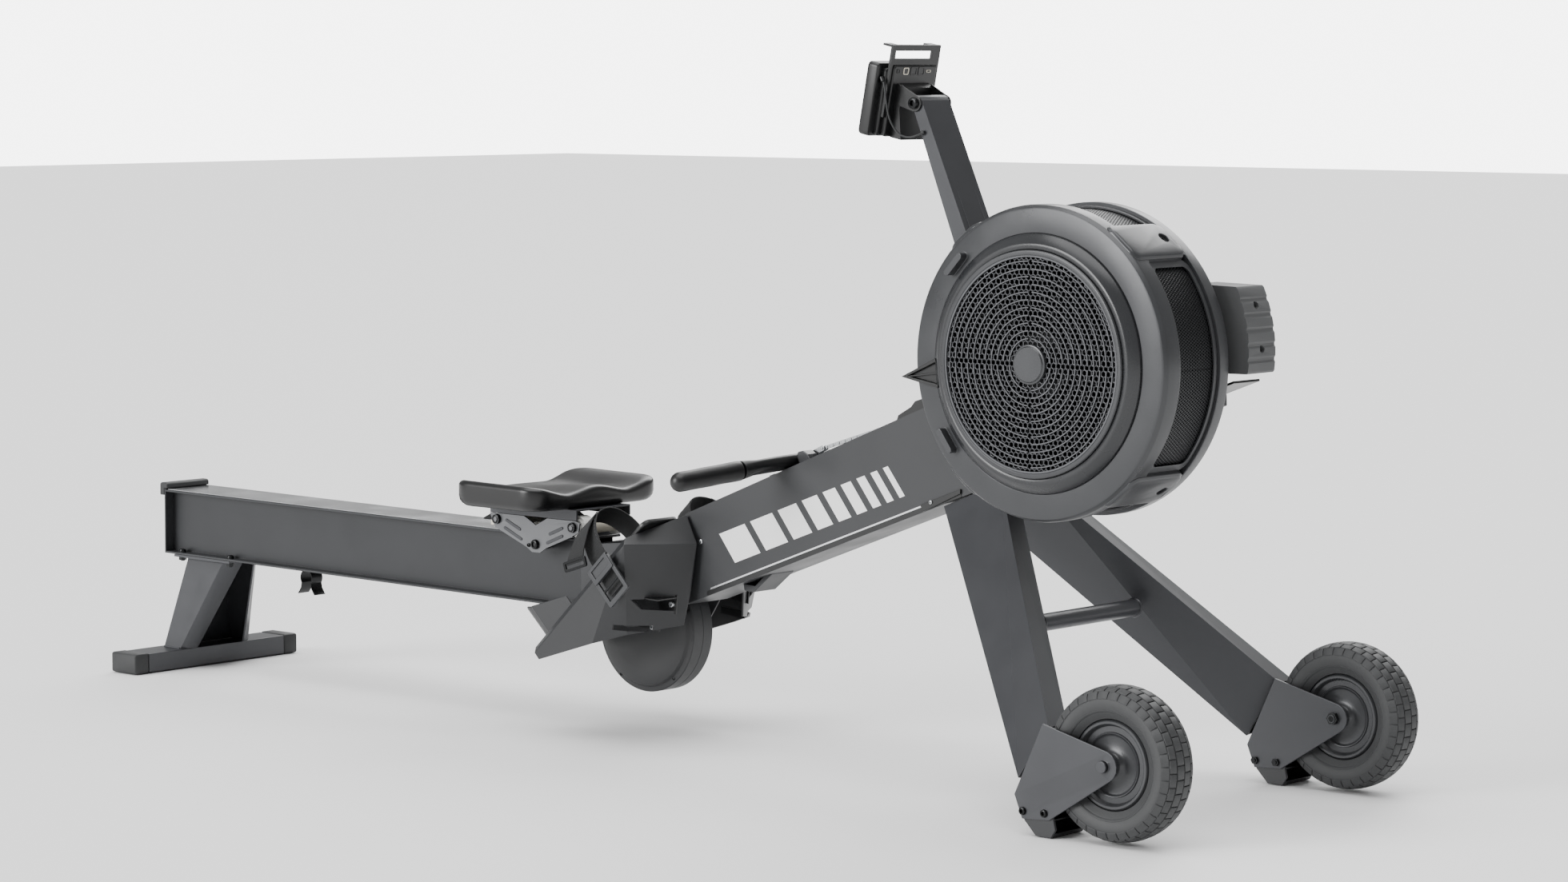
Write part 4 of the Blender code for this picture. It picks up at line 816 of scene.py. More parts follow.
# ---------------------------------------------------------------- footrests
def footrest_group():
    for side, sign in (("right", -1), ("left", 1)):
        shell = carry(f"footrest_{side}", PLASTIC, 0.0022, 3)
        pockets = Shape()
        pockets.prism([(0.0850, 0.2130), (0.0880, 0.2330), (0.0460, 0.2340), (0.0530, 0.2180)],
                      *sorted((sign * 0.20, sign * 0.085)))
        pockets.prism([(0.0600, 0.1900), (0.0160, 0.1925), (0.0140, 0.1845), (0.0580, 0.1810)],
                      *sorted((sign * 0.20, sign * 0.100)))
        subtract(shell, cutter(pockets))
    tray = Shape()
    tray.prism([(0.0860, 0.2080), (0.0890, 0.2380), (0.0430, 0.2390), (0.0500, 0.2130)], -0.0860, -0.0840)
    tray.prism([(0.0460, 0.2345), (0.0880, 0.2335), (0.0880, 0.2355), (0.0450, 0.2365)], -0.1300, -0.0850)
    tray.prism([(0.0640, 0.1800), (0.0640, 0.1930), (0.0130, 0.1960), (0.0120, 0.1850)], -0.1010, -0.0990)
    tray.done("footrest_pocket_right", "frame", DARK_PLASTIC, "black_plastic", both=True)
    screws = Shape()
    for x, y, z in ((0.0790, -0.0862, 0.2240), (0.0510, -0.1012, 0.1870)):
        screws.screw((x, y, z), (0, -1, 0), 0.0052, 0.0050)
    screws.done("footrest_screws_right", "frame", STEEL, "plated_steel", both=True)

    cap = Shape()
    cap.prism(rounded((0.2440, -0.1380), (0.3130, -0.0560), 0.014), 0.0002, 0.0080, PLATE)
    cap.done("toe_cap_right", "frame", DARK_PLASTIC, "black_plastic", bevel=0.0024, segments=3, both=True)
    ribs = Shape()
    for k in range(5):
        p = 0.2510 + 0.0115 * k
        ribs.prism(capsule((p, -0.1240), (p, -0.0700), 0.0016), 0.0078, 0.0092, PLATE)
    ribs.done("toe_ribs_right", "frame", DARK_PLASTIC, "black_plastic", both=True)

    cup = Shape()
    cup.prism(rounded((0.004, -0.1500), (0.170, -0.0620), 0.010), 0.0003, 0.0033, PLATE)
    path = [(0.1000, -0.0650), (0.0300, -0.0630)] + arc((0.0340, -0.0910), 0.0270, 100, 165, 5)
    path += [(0.0066, -0.1050)] + arc((0.0340, -0.1190), 0.0270, 195, 260, 5)
    path += [(0.0300, -0.1470), (0.1000, -0.1450)]
    count = len(path)
    inner = thicken(path, 0.0030)[count:][::-1]
    rings = []
    for (px, py), (qx, qy) in zip(path, inner):
        rise = 0.0700 - 0.045 * max(0.0, min(1.0, (px - 0.02) / 0.075)) ** 0.8
        flare = 0.0040 if px < 0.03 else 0.0020
        lean = -flare if px < 0.06 else 0.0
        rings.append([(px, py, 0.0016), (qx, qy, 0.0016), (qx + lean, qy, rise), (px + lean, py, rise)])
    cup.skin(rings, PLATE)
    for k in range(5):
        p = 0.1080 + 0.0110 * k
        cup.prism(rounded((p, -0.1250), (p + 0.0050, -0.0880), 0.0020), 0.0030, 0.0046, PLATE)
    cup.done("heel_cup_shell_right", "heel_right", PLASTIC, "black_plastic", bevel=0.0012, both=True,
             replaces=["heel_cup_right"])

    arch = smooth_path([
        (-0.0560, 0.0010, 0), (-0.0580, 0.0300, 0), (-0.0660, 0.0620, 0), (-0.0840, 0.0840, 0),
        (-0.1080, 0.0900, 0), (-0.1360, 0.0810, 0), (-0.1580, 0.0560, 0), (-0.1710, 0.0220, 0),
        (-0.1735, -0.0080, 0), (-0.1742, -0.0560, 0)], 5)
    outline = [(p.x, p.y) for p in arch]
    strap = Shape()
    rings = []
    for (a, b) in zip(outline, thicken(outline, 0.0018)[len(outline):][::-1]):
        rings.append([(0.2032, a[0], a[1]), (0.2042, a[0], a[1]), (0.2398, a[0], a[1]),
                      (0.2408, a[0], a[1]), (0.2408, b[0], b[1]), (0.2398, b[0], b[1]),
                      (0.2042, b[0], b[1]), (0.2032, b[0], b[1])])
    strap.skin(rings, PLATE)
    turn = radians(-25.9)
    wide = Vector((cos(turn), 0.0, sin(turn)))
    tail = smooth_path([(0.2220, -0.1340, 0.0835), (0.2200, -0.1480, 0.0760), (0.2140, -0.1660, 0.0610),
                        (0.2070, -0.1790, 0.0460), (0.1990, -0.1865, 0.0350), (0.1900, -0.1890, 0.0245)], 5)
    rings = []
    for k, point in enumerate(tail):
        ease = k / (len(tail) - 1)
        across = (Vector((1, 0, 0)) * (1 - ease) + wide * ease).normalized() * 0.0185
        way = (tail[min(k + 1, len(tail) - 1)] - tail[max(k - 1, 0)]).normalized()
        up = across.cross(way).normalized() * 0.0008
        rings.append([point - across - up, point + across - up, point + across + up, point - across + up])
    strap.skin(rings, PLATE)
    strap.done("strap_web_right", "frame", WEBBING, "strap_webbing", both=True, replaces=["strap_right"])

    stitch = Shape()
    for v in (0.2068, 0.2372):
        for k in range(8, len(outline) - 12, 1):
            a, b = Vector(outline[k]), Vector(outline[k + 1])
            mid = a + (b - a) * 0.55
            start = PLATE @ Vector((v, a.x, a.y))
            end = PLATE @ Vector((v, mid.x, mid.y))
            stitch.tube([start, end], 0.0005, 6)
    stitch.done("strap_stitching_right", "frame", PLASTIC, "strap_webbing", both=True)

    ring = Shape()
    centre = PLATE @ Vector((0.1885, -0.1890, 0.0235))
    place = Matrix.Translation(centre) @ Matrix.Rotation(radians(-18), 4, "Y") @ XZ
    ring.frame(rounded((-0.0255, -0.0085), (0.0255, 0.0085), 0.0030),
               rounded((-0.0205, -0.0045), (0.0205, 0.0045), 0.0015), -0.0018, 0.0018, place)
    ring.done("strap_tail_ring_right", "frame", BLACK_STEEL, "plated_steel", bevel=0.0008, both=True)

    buckle = Shape()
    side = PLATE @ XZ
    buckle.frame(rounded((0.1950, -0.0730), (0.2490, 0.0000), 0.0030),
                 rounded((0.2015, -0.0650), (0.2425, -0.0270), 0.0015), -0.1830, -0.1785, side)
    buckle.frame(rounded((0.1960, -0.0280), (0.2480, -0.0005), 0.0020),
                 rounded((0.2030, -0.0200), (0.2410, -0.0060), 0.0010), -0.1850, -0.1785, side)
    buckle.done("buckle_frame_right", "lever_right", HOUSING, "grey_plastic", bevel=0.0010, both=True,
                replaces=["buckle_right"])
    pin = Shape()
    pin.bar(PLATE @ Vector((0.1945, -0.1815, -0.0030)), PLATE @ Vector((0.2495, -0.1815, -0.0030)),
            0.0022, 16, 0.0005)
    pin.bar(PLATE @ Vector((0.1990, -0.1812, -0.0460)), PLATE @ Vector((0.2450, -0.1812, -0.0460)),
            0.0018, 16)
    pin.done("buckle_pins_right", "lever_right", BLACK_STEEL, "plated_steel", both=True)


def recoil_group():
    profile = [(0.0, 0.0330), (0.0660, 0.0330), (0.0700, 0.0328), (0.0800, 0.0318), (0.0900, 0.0300),
               (0.0940, 0.0288), (0.0960, 0.0262), (0.0975, 0.0240), (0.1000, 0.0232), (0.1045, 0.0225),
               (0.1060, 0.0210), (0.1060, 0.0008), (0.1052, 0.0002), (0.1035, 0.0002), (0.1035, 0.0205),
               (0.0930, 0.0265), (0.0700, 0.0298), (0.0120, 0.0300), (0.0061, 0.0300), (0.0, 0.0300)]
    for side, sign in (("right", 1), ("left", -1)):
        shell = Shape().turn([(r, sign * h) for r, h in profile], about_y(DISC[0], 0.0, DISC[1]), 96)
        made = shell.done(f"recoil_shell_{side}", "frame", PLASTIC, "black_plastic", smooth=40,
                          replaces=[f"recoil_cover_{side}"])
        notch = Shape().bar((0.030, 0.0, 0.243), (0.075, 0.0, 0.266), 0.0060, 16)
        subtract(made, cutter(notch))
    screws = Shape()
    for sign in (-1, 1):
        for k in range(5):
            a = radians(20 + 72 * k)
            screws.screw((DISC[0] + 0.100 * cos(a), sign * 0.0226, DISC[1] + 0.100 * sin(a)), (0, sign, 0),
                         0.0028, 0.0016)
    screws.done("recoil_screws", "frame", BLACK_STEEL, "plated_steel")


# ---------------------------------------------------------------- fan
def fan_group():
    centre = about_y(FAN[0], 0.0, FAN[1])
    back = [(0.0135, 0.0498), (0.0320, 0.0498), (0.0320, 0.0528), (0.2170, 0.0528), (0.2220, 0.0540),
            (0.2262, 0.0575), (0.2269, 0.0605), (0.2269, 0.0770), (0.2260, 0.0780), (0.2150, 0.0780),
            (0.2150, 0.0565), (0.0300, 0.0565), (0.0300, 0.0700), (0.0135, 0.0700)]
    Shape().turn(back, centre, 144, closed=True).done(
        "fan_rear_housing", "frame", HOUSING, "grey_plastic", replaces=["fan_back_cover"])
    front = [(0.2190, 0.0783), (0.2262, 0.0783), (0.2269, 0.0790), (0.2269, 0.1985), (0.2262, 0.2012),
             (0.2225, 0.2060), (0.2190, 0.2073), (0.1870, 0.2073), (0.1860, 0.2066), (0.1640, 0.2066),
             (0.1630, 0.2073), (0.1630, 0.2235), (0.1620, 0.2250), (0.1600, 0.2253), (0.1565, 0.2253),
             (0.1553, 0.2244), (0.1553, 0.2040), (0.2150, 0.2040), (0.2190, 0.1980)]
    cover = Shape().turn(front, centre, 144, closed=True).done(
        "fan_front_housing", "frame", HOUSING, "grey_plastic", bevel=0.0008, replaces=["fan_front_cover"])
    windows = Shape()
    for quarter in range(4):
        turned = Matrix.Translation((FAN[0], 0, FAN[1])) @ Matrix.Rotation(pi / 2 * quarter, 4, "Y")
        half = 0.117 if quarter % 2 else 0.157
        outline = rounded((-half, -0.1740), (half, -0.0700), 0.014, 5)
        windows.skin([[(0.145, v, u) for u, v in outline], [(0.300, v, u) for u, v in outline]], turned)
    subtract(cover, cutter(windows))

    lugs, screws, recesses = Shape(), Shape(), Shape()
    for angle in (51.4, 128.6, 231.4, 308.6):
        turned = Matrix.Translation((FAN[0], 0, FAN[1])) @ Matrix.Rotation(-radians(angle), 4, "Y")
        rings = []
        for level, width, back in ((0.2180, 0.036, -0.0795), (0.2275, 0.036, -0.0795),
                                   (0.2308, 0.033, -0.0820), (0.2320, 0.028, -0.0860)):
            outline = rounded((-width, -0.2010 + 0.6 * (0.036 - width)), (width, back), 0.014, 6)
            rings.append([(sqrt(level ** 2 - u ** 2), v, u) for u, v in outline])
        lugs.skin(rings, turned)
        spot = turned @ Vector((0.2255, -0.1020, 0.0))
        away = turned @ Vector((1, -0.1020, 0.0)) - spot
        screws.screw(spot, away, 0.0052, 0.0020)
        away.normalize()
        recesses.bar(spot, spot + away * 0.02, 0.0085, 32)
    lug = lugs.done("fan_lugs", "frame", HOUSING, "grey_plastic", bevel=0.0012)
    subtract(lug, cutter(recesses))
    screws.done("fan_lug_screws", "frame", BLACK_STEEL, "plated_steel")

    surround = Shape()
    for quarter in range(4):
        turned = Matrix.Translation((FAN[0], 0, FAN[1])) @ Matrix.Rotation(pi / 2 * quarter, 4, "Y")
        half = 0.112 if quarter % 2 else 0.150
        outer = dense(rounded((-half, -0.1740), (half, -0.0790), 0.014, 5))
        inner = dense(rounded((-half + 0.010, -0.1640), (half - 0.010, -0.0850), 0.010, 5))
        surround.skin([[(sqrt(r ** 2 - u ** 2), v, u) for u, v in edge] for r, edge in (
            (0.2180, outer), (0.2222, outer), (0.2212, inner), (0.2180, inner))], turned, looped=True)
    surround.done("fan_window_surrounds", "frame", HOUSING, "grey_plastic", bevel=0.0006)
    liner = [(0.2125, 0.0800), (0.2132, 0.0800), (0.2132, 0.2030), (0.2125, 0.2030)]
    Shape().turn(liner, centre, 96, closed=True).done("fan_dust_screen", "frame", MESH, "plated_steel")

    rows, turns = 24, 300
    step = 2 * pi * 0.2165 / turns
    spots = [((i + 0.5 * (j % 2)) * step, -0.0800 - j * step * sqrt(3) / 2) for i in range(turns)
             for j in range(rows)]
    def wrap(u, v):
        a = u / 0.2165
        return FAN[0] + 0.2165 * cos(a), v, FAN[1] + 0.2165 * sin(a)
    honeycomb("fan_perforated_band", "frame", MESH, spots, step, step * 0.36, 0.0012, wrap)

    pitch, spots = 0.0084, []
    for j in range(-40, 41):
        for i in range(-40, 41):
            u, v = (i + 0.5 * (j % 2)) * pitch, j * pitch * sqrt(3) / 2
            if 0.024 < hypot(u, v) < 0.1560:
                spots.append((u, v))
    honeycomb("fan_grille_mesh", "frame", GRILLE_COAT, spots, pitch, pitch * 0.46, 0.0028,
              lambda u, v: (FAN[0] + u, -0.2212, FAN[1] + v))
    ribs = Shape()
    for k in range(11):
        radius = 0.0370 + 0.0110 * k
        for quarter in range(4):
            gap = 0.0030 / radius * 180 / pi
            steps = 18
            outer = arc(FAN, radius + 0.0008, 90 * quarter + gap, 90 * quarter + 90 - gap, steps)
            inner = arc(FAN, radius - 0.0008, 90 * quarter + gap, 90 * quarter + 90 - gap, steps)
            ribs.skin([[(*o, 0) for o in (a, b)] + [(*o, 1) for o in (b, a)] for a, b in zip(outer, inner)],
                      Matrix(((1, 0, 0, 0), (0, 0, -0.0016, -0.2224), (0, 1, 0, 0), (0, 0, 0, 1))))
    rim = [(0.1528, 0.2192), (0.1528, 0.2245), (0.1552, 0.2245), (0.1552, 0.2192)]
    ribs.turn(rim, centre, 128, closed=True)
    ribs.done("fan_grille_rings", "frame", RING_COAT, "grey_plastic", replaces=["fan_grille"])
    hub = [(0.0, 0.2190), (0.0285, 0.2190), (0.0285, 0.2255), (0.0270, 0.2262), (0.0262, 0.2262),
           (0.0258, 0.2268), (0.0245, 0.2282), (0.0, 0.2282)]
    Shape().turn(hub, centre, 64).done("fan_hub_cap", "frame", HOUSING, "grey_plastic")

    ring = [(0.1636, 0.2077), (0.1855, 0.2077), (0.1855, 0.2100), (0.1848, 0.2112), (0.1728, 0.2205),
            (0.1712, 0.2213), (0.1650, 0.2215), (0.1636, 0.2206)]
    Shape().turn(ring, centre, 144, closed=True).done(
        "damper_ring_band", "damper", RING_PLASTIC, "grey_plastic", smooth=50, replaces=["damper_ring"])
    rest = radians(187)
    tip = (FAN[0] + 0.2450 * cos(rest), FAN[1] + 0.2450 * sin(rest))
    root = [(FAN[0] + 0.1790 * cos(rest + a), FAN[1] + 0.1790 * sin(rest + a)) for a in (-0.122, 0.122)]
    root_in = [(FAN[0] + 0.1770 * cos(rest + a), FAN[1] + 0.1770 * sin(rest + a)) for a in (-0.096, 0.096)]
    tip_in = (FAN[0] + 0.2330 * cos(rest), FAN[1] + 0.2330 * sin(rest))
    lever = Shape().frame([tip, root[1], root[0]], [tip_in, root_in[1], root_in[0]], -0.2180, -0.2084)
    lever.prism([tip_in, root_in[1], root_in[0]], -0.2120, -0.2090)
    middle, half = (root_in[0][1] + root_in[1][1]) / 2, 0.0012
    lever.prism([(tip[0] + 0.006, tip[1] + half), (root_in[0][0], middle + half),
                 (root_in[0][0], middle - half), (tip[0] + 0.006, tip[1] - half)], -0.2170, -0.2100)
    lever.done("damper_lever", "damper", DARK_PLASTIC, "grey_plastic", bevel=0.0007)
    pegs = Shape()
    for start, end in ((141.3, 132.0), (211.9, 221.0)):
        near, far = [(FAN[0] + 0.2010 * cos(radians(a)), FAN[1] + 0.2010 * sin(radians(a)))
                     for a in (start, end)]
        pegs.prism(capsule(near, far, 0.0050), -0.2200, -0.2060)
        pegs.prism(capsule(near, far, 0.0072), -0.2078, -0.2060)
    pegs.done("damper_stop_pegs", "frame", HOUSING, "grey_plastic", bevel=0.0012)

    wheel = Shape()
    for k in range(24):
        a = 2 * pi * k / 24
        place = about_y(FAN[0], 0, FAN[1]) @ Matrix.Rotation(a, 4, "Z")
        wheel.box((0.040, -0.0008, 0.0900), (0.204, 0.0008, 0.1940), place)
    wheel.turn([(0.0, 0.0760), (0.2040, 0.0880), (0.2040, 0.0900), (0.0450, 0.0920), (0.0450, 0.1960),
                (0.0, 0.1960)], centre, 64)
    wheel.bar((FAN[0], 0.0450, FAN[1]), (FAN[0], -0.0800, FAN[1]), 0.0058, 24)
    wheel.done("fan_impeller", "fan_rotor", BLACK_STEEL, "fan_steel", replaces=["fan_wheel"])
    carry("fan_bearing", STEEL, 0.0004)


# ---------------------------------------------------------------- monitor
def monitor_group():
    carry("monitor_arm", COATED, 0.0022, 3)
    low = Vector((0.7232, 0.0, beam_top(0.7232) + 0.004))
    high = Vector((HINGE[0] + 0.0005 + 0.0122 * cos(radians(20)), 0.0,
                   HINGE[1] + 0.0122 * sin(radians(20)) - 0.006))
    seams = Shape()
    for y in (-0.0210, 0.0210):
        seams.tube([low + Vector((0, y, 0)), high + Vector((0, y, 0))], 0.0012, 8)
    seams.done("monitor_arm_seams", "frame", COATED, "painted_frame")

    slab = Shape()
    rings = []
    for depth, inset in ((-0.0745, 0.0040), (-0.0738, 0.0016), (-0.0725, 0.0004), (-0.0700, 0.0),
                         (-0.0560, 0.0), (-0.0542, 0.0006), (-0.0532, 0.0026)):
        outline = rounded((-0.0700 + inset, -0.0615 + inset), (0.0700 - inset, 0.0510 - inset), 0.0070, 6)
        rings.append([(depth, u, v) for u, v in outline])
    slab.skin(rings, MONITOR)
    slab.done("monitor_slab", "monitor", DARK_PLASTIC, "black_plastic", smooth=40, replaces=["monitor_body"])

    back = Shape()
    rings = []
    for depth, inset in ((-0.0540, 0.0), (-0.0470, 0.0), (-0.0452, 0.0020)):
        rings.append([(depth, u, v) for u, v in
                      rounded((-0.0580 + inset, -0.0600 + inset), (0.0580 - inset, 0.0440 - inset),
                              0.006, 5)])
    back.skin(rings, MONITOR)
    rings = []
    for depth, inset in ((-0.0460, 0.0), (-0.0385, 0.0), (-0.0370, 0.0016)):
        rings.append([(depth, u, v) for u, v in
                      rounded((-0.0500 + inset, -0.0595 + inset), (0.0500 - inset, 0.0500 - inset),
                              0.005, 5)])
    back.skin(rings, MONITOR)
    foot = [(-0.0380, -0.0600), (-0.0150, -0.0600), (-0.0270, -0.0150), (-0.0270, 0.0180),
            (-0.0380, 0.0240)]
    back.prism(foot, -0.0360, 0.0360, MONITOR @ XZ)
    ear = [(-0.0310, -0.0100)] + arc((0.0, 0.0), 0.0130, -90, 90, 10) + [(-0.0310, 0.0230)]
    for sign in (-1, 1):
        back.prism(ear, *sorted((sign * 0.0336, sign * 0.0365)), MONITOR @ XZ)
    back.done("monitor_rear_housing", "monitor", DARK_PLASTIC, "black_plastic", bevel=0.0008)

    sockets, white = Shape(), Shape()
    for y, w, h, shape in ((-0.040, 0.0032, 0.0032, sockets), (-0.022, 0.0060, 0.0055, white),
                           (-0.004, 0.0075, 0.0065, sockets), (0.014, 0.0075, 0.0065, sockets),
                           (0.031, 0.0050, 0.0020, white)):
        outer = rounded((y - w, 0.0415 - h), (y + w, 0.0415 + h), min(w, h) * 0.45, 4)
        inner = rounded((y - w * 0.72, 0.0415 - h * 0.72), (y + w * 0.72, 0.0415 + h * 0.72),
                        min(w, h) * 0.3, 4)
        shape.frame(outer, inner, -0.0374, -0.0362, MONITOR @ YZ)
        sockets.prism(inner, -0.0376, -0.0368, MONITOR @ YZ)
    sockets.done("monitor_sockets", "monitor", DARK_PLASTIC, "black_plastic", bevel=0.0002)
    white.done("monitor_socket_rims", "monitor", NYLON, "roller_nylon", bevel=0.0002)
    Shape().prism(rounded((-0.024, -0.034), (0.024, -0.016), 0.002), -0.0372, -0.0366, MONITOR @ YZ).done(
        "monitor_blank_label", "monitor", KEYS, "grey_plastic")

    face = Shape()
    face.frame(rounded((-0.0640, -0.0560), (0.0640, 0.0460), 0.006, 5),
               rounded((-0.0540, -0.0060), (0.0540, 0.0390),
               0.003, 5), -0.0750, -0.0742, MONITOR @ YZ)
    face.done("monitor_bezel", "monitor", DARK_PLASTIC, "black_plastic", bevel=0.0002)
    Shape().prism(rounded((-0.0545, -0.0065), (0.0545, 0.0395), 0.003, 5), -0.0746, -0.0743,
                  MONITOR @ YZ).done(
        "monitor_display", "monitor", GLASS, "black_plastic")
    keys = Shape()
    for v in (-0.0180, -0.0300, -0.0430):
        for k in range(5):
            u = -0.048 + 0.024 * k
            keys.prism(rounded((u - 0.0085, v - 0.0042), (u + 0.0085, v + 0.0042), 0.0025), -0.0756, -0.0749,
                       MONITOR @ YZ)
    keys.done("monitor_keys", "monitor", KEYS, "grey_plastic", bevel=0.0002)

    carry("phone_holder", DARK_PLASTIC, 0.0012)
    bolt = Shape()
    for sign in (-1, 1):
        bolt.screw((HINGE[0], sign * 0.0364, HINGE[1]), (0, sign, 0), 0.0090, 0.0056)
    bolt.bar((HINGE[0], -0.0360, HINGE[1]), (HINGE[0], 0.0360, HINGE[1]), 0.0050, 24)
    bolt.done("monitor_hinge_bolt", "monitor", BLACK_STEEL, "plated_steel")

    route = [(0.4915, -0.0604, 1.0555), (0.4950, -0.0610, 1.0490), (0.4975, -0.0612, 1.0380),
             (0.4990, -0.0610, 1.0240), (0.5010, -0.0600, 1.0100), (0.5035, -0.0575, 0.9960),
             (0.5080, -0.0540, 0.9840), (0.5150, -0.0500, 0.9740), (0.5245, -0.0460, 0.9690),
             (0.5345, -0.0425, 0.9690), (0.5440, -0.0395, 0.9720), (0.5520, -0.0355, 0.9760)]
    path = smooth_path(route, 4)
    lead = Shape().tube(path, 0.0015, 12).done("monitor_lead_cable", None, RUBBER, "black_rubber", smooth=60,
                                               replaces=["monitor_lead"])
    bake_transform(lead)
    plug = Shape()
    a, b = Vector(route[0]), Vector(route[1])
    way = (a - b).normalized()
    plug.bar(a - way * 0.004, a + way * 0.0040, 0.0036, 20, 0.0006)
    plug.done("monitor_lead_plug", "monitor", DARK_PLASTIC, "black_plastic")
    collar = Shape()
    a, b = Vector(route[-1]), Vector(route[-2])
    way = (b - a).normalized()
    collar.bar(a - way * 0.001, a + way * 0.004, 0.0032, 20, 0.0006)
    collar.done("monitor_lead_grommet", "frame", RUBBER, "black_rubber")


# ---------------------------------------------------------------- front legs and wheels
def leg_group():
    for side in ("right", "left"):
        carry(f"front_leg_{side}", COATED, 0.0020, 3)
        carry(f"wheel_plate_outer_{side}", COATED, 0.0010)
        carry(f"wheel_plate_inner_{side}", COATED, 0.0010)
        carry(f"leg_foot_{side}", PLASTIC, 0.0010)
    bar = Shape().bar((0.840, -0.1180, 0.2660), (0.840, 0.1180, 0.2660), 0.0130, 48)
    for sign in (-1, 1):
        place = about_y(0.840, sign * 0.1150, 0.266)
        bar.turn([(0.0128, -0.0022), (0.0146, -0.0014), (0.0152, 0.0), (0.0146, 0.0014), (0.0128, 0.0022)],
                 place, 40, closed=True)
    bar.done("leg_cross_tube", "frame", COATED, "painted_frame", replaces=["leg_crossbar"])
    bolts = Shape()
    for sign in (-1, 1):
        out, into = sign * 0.3209, sign * 0.2417
        for x, z in ((0.9750, 0.0340), (1.0130, 0.0350)):
            bolts.screw((x, out, z), (0, sign, 0), 0.0058, 0.0042)
            bolts.nut((x, into, z), (0, -sign, 0), 0.0062, 0.0042)
        bolts.screw((WHEEL[0], out, WHEEL[1]), (0, sign, 0), 0.0088, 0.0060)
        bolts.nut((WHEEL[0], into, WHEEL[1]), (0, -sign, 0), 0.0095, 0.0066)
        bolts.bar((1.004, sign * 0.252, 0.020), (1.004, sign * 0.310, 0.020), 0.0035, 16)
    bolts.done("leg_bolts", "frame", BLACK_STEEL, "plated_steel")


def wheel_group():
    place = about_y(WHEEL[0], -WHEEL_Y, WHEEL[1])
    half = [(0.0640, 0.0180), (0.0650, 0.0215), (0.0680, 0.0232), (0.0720, 0.0262), (0.0790, 0.0300),
            (0.0860, 0.0318), (0.0930, 0.0315), (0.0990, 0.0292), (0.1035, 0.0250), (0.1062, 0.0190),
            (0.1076, 0.0100)]
    profile = half + [(0.1080, 0.0)] + [(r, -h) for r, h in reversed(half)]
    tyre = Shape().turn(profile, place, 144, closed=True)
    for sign in (-1, 1):
        bead = [(0.0745, sign * 0.0276), (0.0755, sign * 0.0292), (0.0775, sign * 0.0300),
                (0.0785, sign * 0.0292)]
        tyre.turn(bead, place, 96, closed=True)
    crown = [(0.0880, 0.0318), (0.0945, 0.0318), (0.1000, 0.0300), (0.1045, 0.0262), (0.1074, 0.0205),
             (0.1092, 0.0120), (0.1100, 0.0)]

    def point(line, sign, lift, angle):
        """A point of a tread block. line runs along the crown from the side wall."""
        i = min(int(line), len(crown) - 2)
        t = line - i
        r = crown[i][0] + (crown[i + 1][0] - crown[i][0]) * t
        h = crown[i][1] + (crown[i + 1][1] - crown[i][1]) * t
        side_ways = max(0.0, 1 - line / 3.5)
        r += lift * (1 - side_ways) - 0.0006
        h += lift * side_ways
        return r * cos(angle), r * sin(angle), sign * h

    count = 34
    pitch = 2 * pi / count
    for sign in (-1, 1):
        for k in range(count):
            for first, last, shift in ((0.9, 2.9, 0.0), (3.05, 4.55, 0.5), (4.7, 5.95, 0.0)):
                shift += 0.5 if sign < 0 else 0.0
                middle = (k + shift) * pitch
                rings = []
                for lift, shrink in ((-0.0012, 1.0), (0.0004, 1.0), (0.0010, 0.90)):
                    wide = pitch * 0.455 * shrink
                    centre_line = (first + last) / 2
                    reach = (last - first) / 2 * shrink
                    ring = []
                    for du, dv in ((-1, -1), (0, -1), (1, -1), (1, 0), (1, 1), (0, 1), (-1, 1), (-1, 0)):
                        ring.append(point(centre_line + dv * reach, sign, lift, middle + du * wide))
                    rings.append(ring)
                tyre.skin(rings, place)
    tyre.done("tyre_tread_right", "wheel_right", TYRE, "black_rubber", smooth=40, both=True,
              replaces=["tyre_right"])

    side = [(0.0062, 0.0330), (0.0128, 0.0330), (0.0140, 0.0322), (0.0145, 0.0300), (0.0150, 0.0235),
            (0.0175, 0.0200), (0.0240, 0.0180), (0.0400, 0.0165), (0.0425, 0.0172), (0.0440, 0.0190),
            (0.0452, 0.0192), (0.0462, 0.0172), (0.0540, 0.0168), (0.0555, 0.0180), (0.0565, 0.0222),
            (0.0580, 0.0235), (0.0612, 0.0235), (0.0622, 0.0225), (0.0630, 0.0210), (0.0637, 0.0200)]
    rim = Shape().turn(side + [(r, -h) for r, h in reversed(side)], place, 96, closed=True)
    rim.done("wheel_rim_right", "wheel_right", HOUSING, "grey_plastic", smooth=40, both=True,
             replaces=["rim_right"])


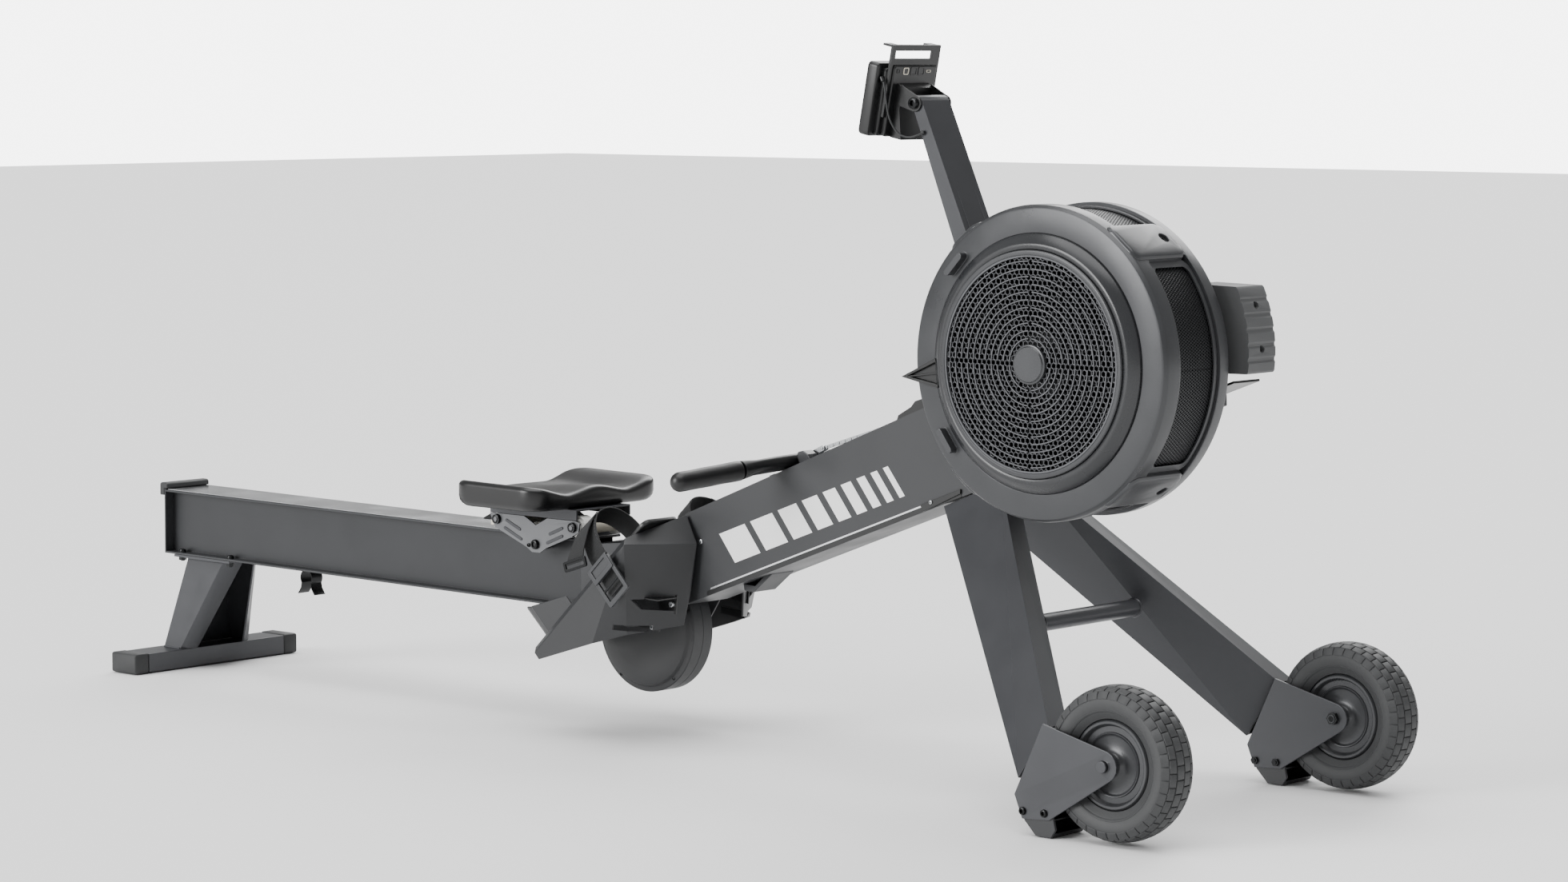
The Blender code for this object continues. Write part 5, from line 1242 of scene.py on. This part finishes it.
# ---------------------------------------------------------------- stage
def stage():
    floor = Shape().skin([[(-30, -30, -0.002), (30, -30, -0.002), (30, 30, -0.002), (-30, 30, -0.002)],
                          [(-30, -30, -0.0012), (30, -30, -0.0012), (30, 30, -0.0012), (-30, 30, -0.0012)]])
    bmesh.ops.recalc_face_normals(floor.mesh, faces=floor.mesh.faces)
    mesh = bpy.data.meshes.new("floor")
    floor.mesh.to_mesh(mesh)
    plane = bpy.data.objects.new("floor", mesh)
    bpy.context.scene.collection.objects.link(plane)
    pale = bpy.data.materials.new("pale_floor")
    pale.use_nodes = True
    pale.node_tree.nodes["Principled BSDF"].inputs["Base Color"].default_value = (0.86, 0.86, 0.86, 1)
    pale.node_tree.nodes["Principled BSDF"].inputs["Roughness"].default_value = 0.8
    mesh.materials.append(pale)

    world = bpy.data.worlds.new("studio")
    world.use_nodes = True
    nodes, links = world.node_tree.nodes, world.node_tree.links
    path = nodes.new("ShaderNodeLightPath")
    level = nodes.new("ShaderNodeMapRange")
    level.inputs["To Min"].default_value = 0.42
    level.inputs["To Max"].default_value = 6.0
    links.new(path.outputs["Is Camera Ray"], level.inputs["Value"])
    links.new(level.outputs["Result"], nodes["Background"].inputs["Strength"])
    nodes["Background"].inputs["Color"].default_value = (1.0, 1.0, 1.0, 1)
    bpy.context.scene.world = world

    for name, way, spread, power in (
            ("overhead", (0.0, -0.10, 1.0), 60, 3.0), ("back", (-0.35, 0.80, 0.62), 40, 2.0),
            ("key", (-0.45, -1.0, 0.35), 30, 3.0)):
        lamp = bpy.data.lights.new(name, "SUN")
        lamp.angle = radians(spread)
        lamp.energy = power
        made = bpy.data.objects.new(name, lamp)
        made.rotation_mode = "QUATERNION"
        made.rotation_quaternion = Vector(way).to_track_quat("Z", "Y")
        bpy.context.scene.collection.objects.link(made)

    lens = bpy.data.cameras.new("camera")
    lens.lens = 93.8
    lens.sensor_width = 36.0
    camera = bpy.data.objects.new("camera", lens)
    camera.location = (4.495, -4.770, 1.081)
    turn, tilt = radians(41.74), radians(5.30)
    ahead = Vector((-sin(turn) * cos(tilt), cos(turn) * cos(tilt), -sin(tilt)))
    camera.rotation_mode = "QUATERNION"
    camera.rotation_quaternion = ahead.to_track_quat("-Z", "Y")
    bpy.context.scene.collection.objects.link(camera)
    bpy.context.scene.camera = camera


stage()
rail_group()
seat_group()
beam_group()
chain_group()
handle_group()
footrest_group()
recoil_group()
fan_group()
monitor_group()
leg_group()
wheel_group()

bpy.context.view_layer.update()
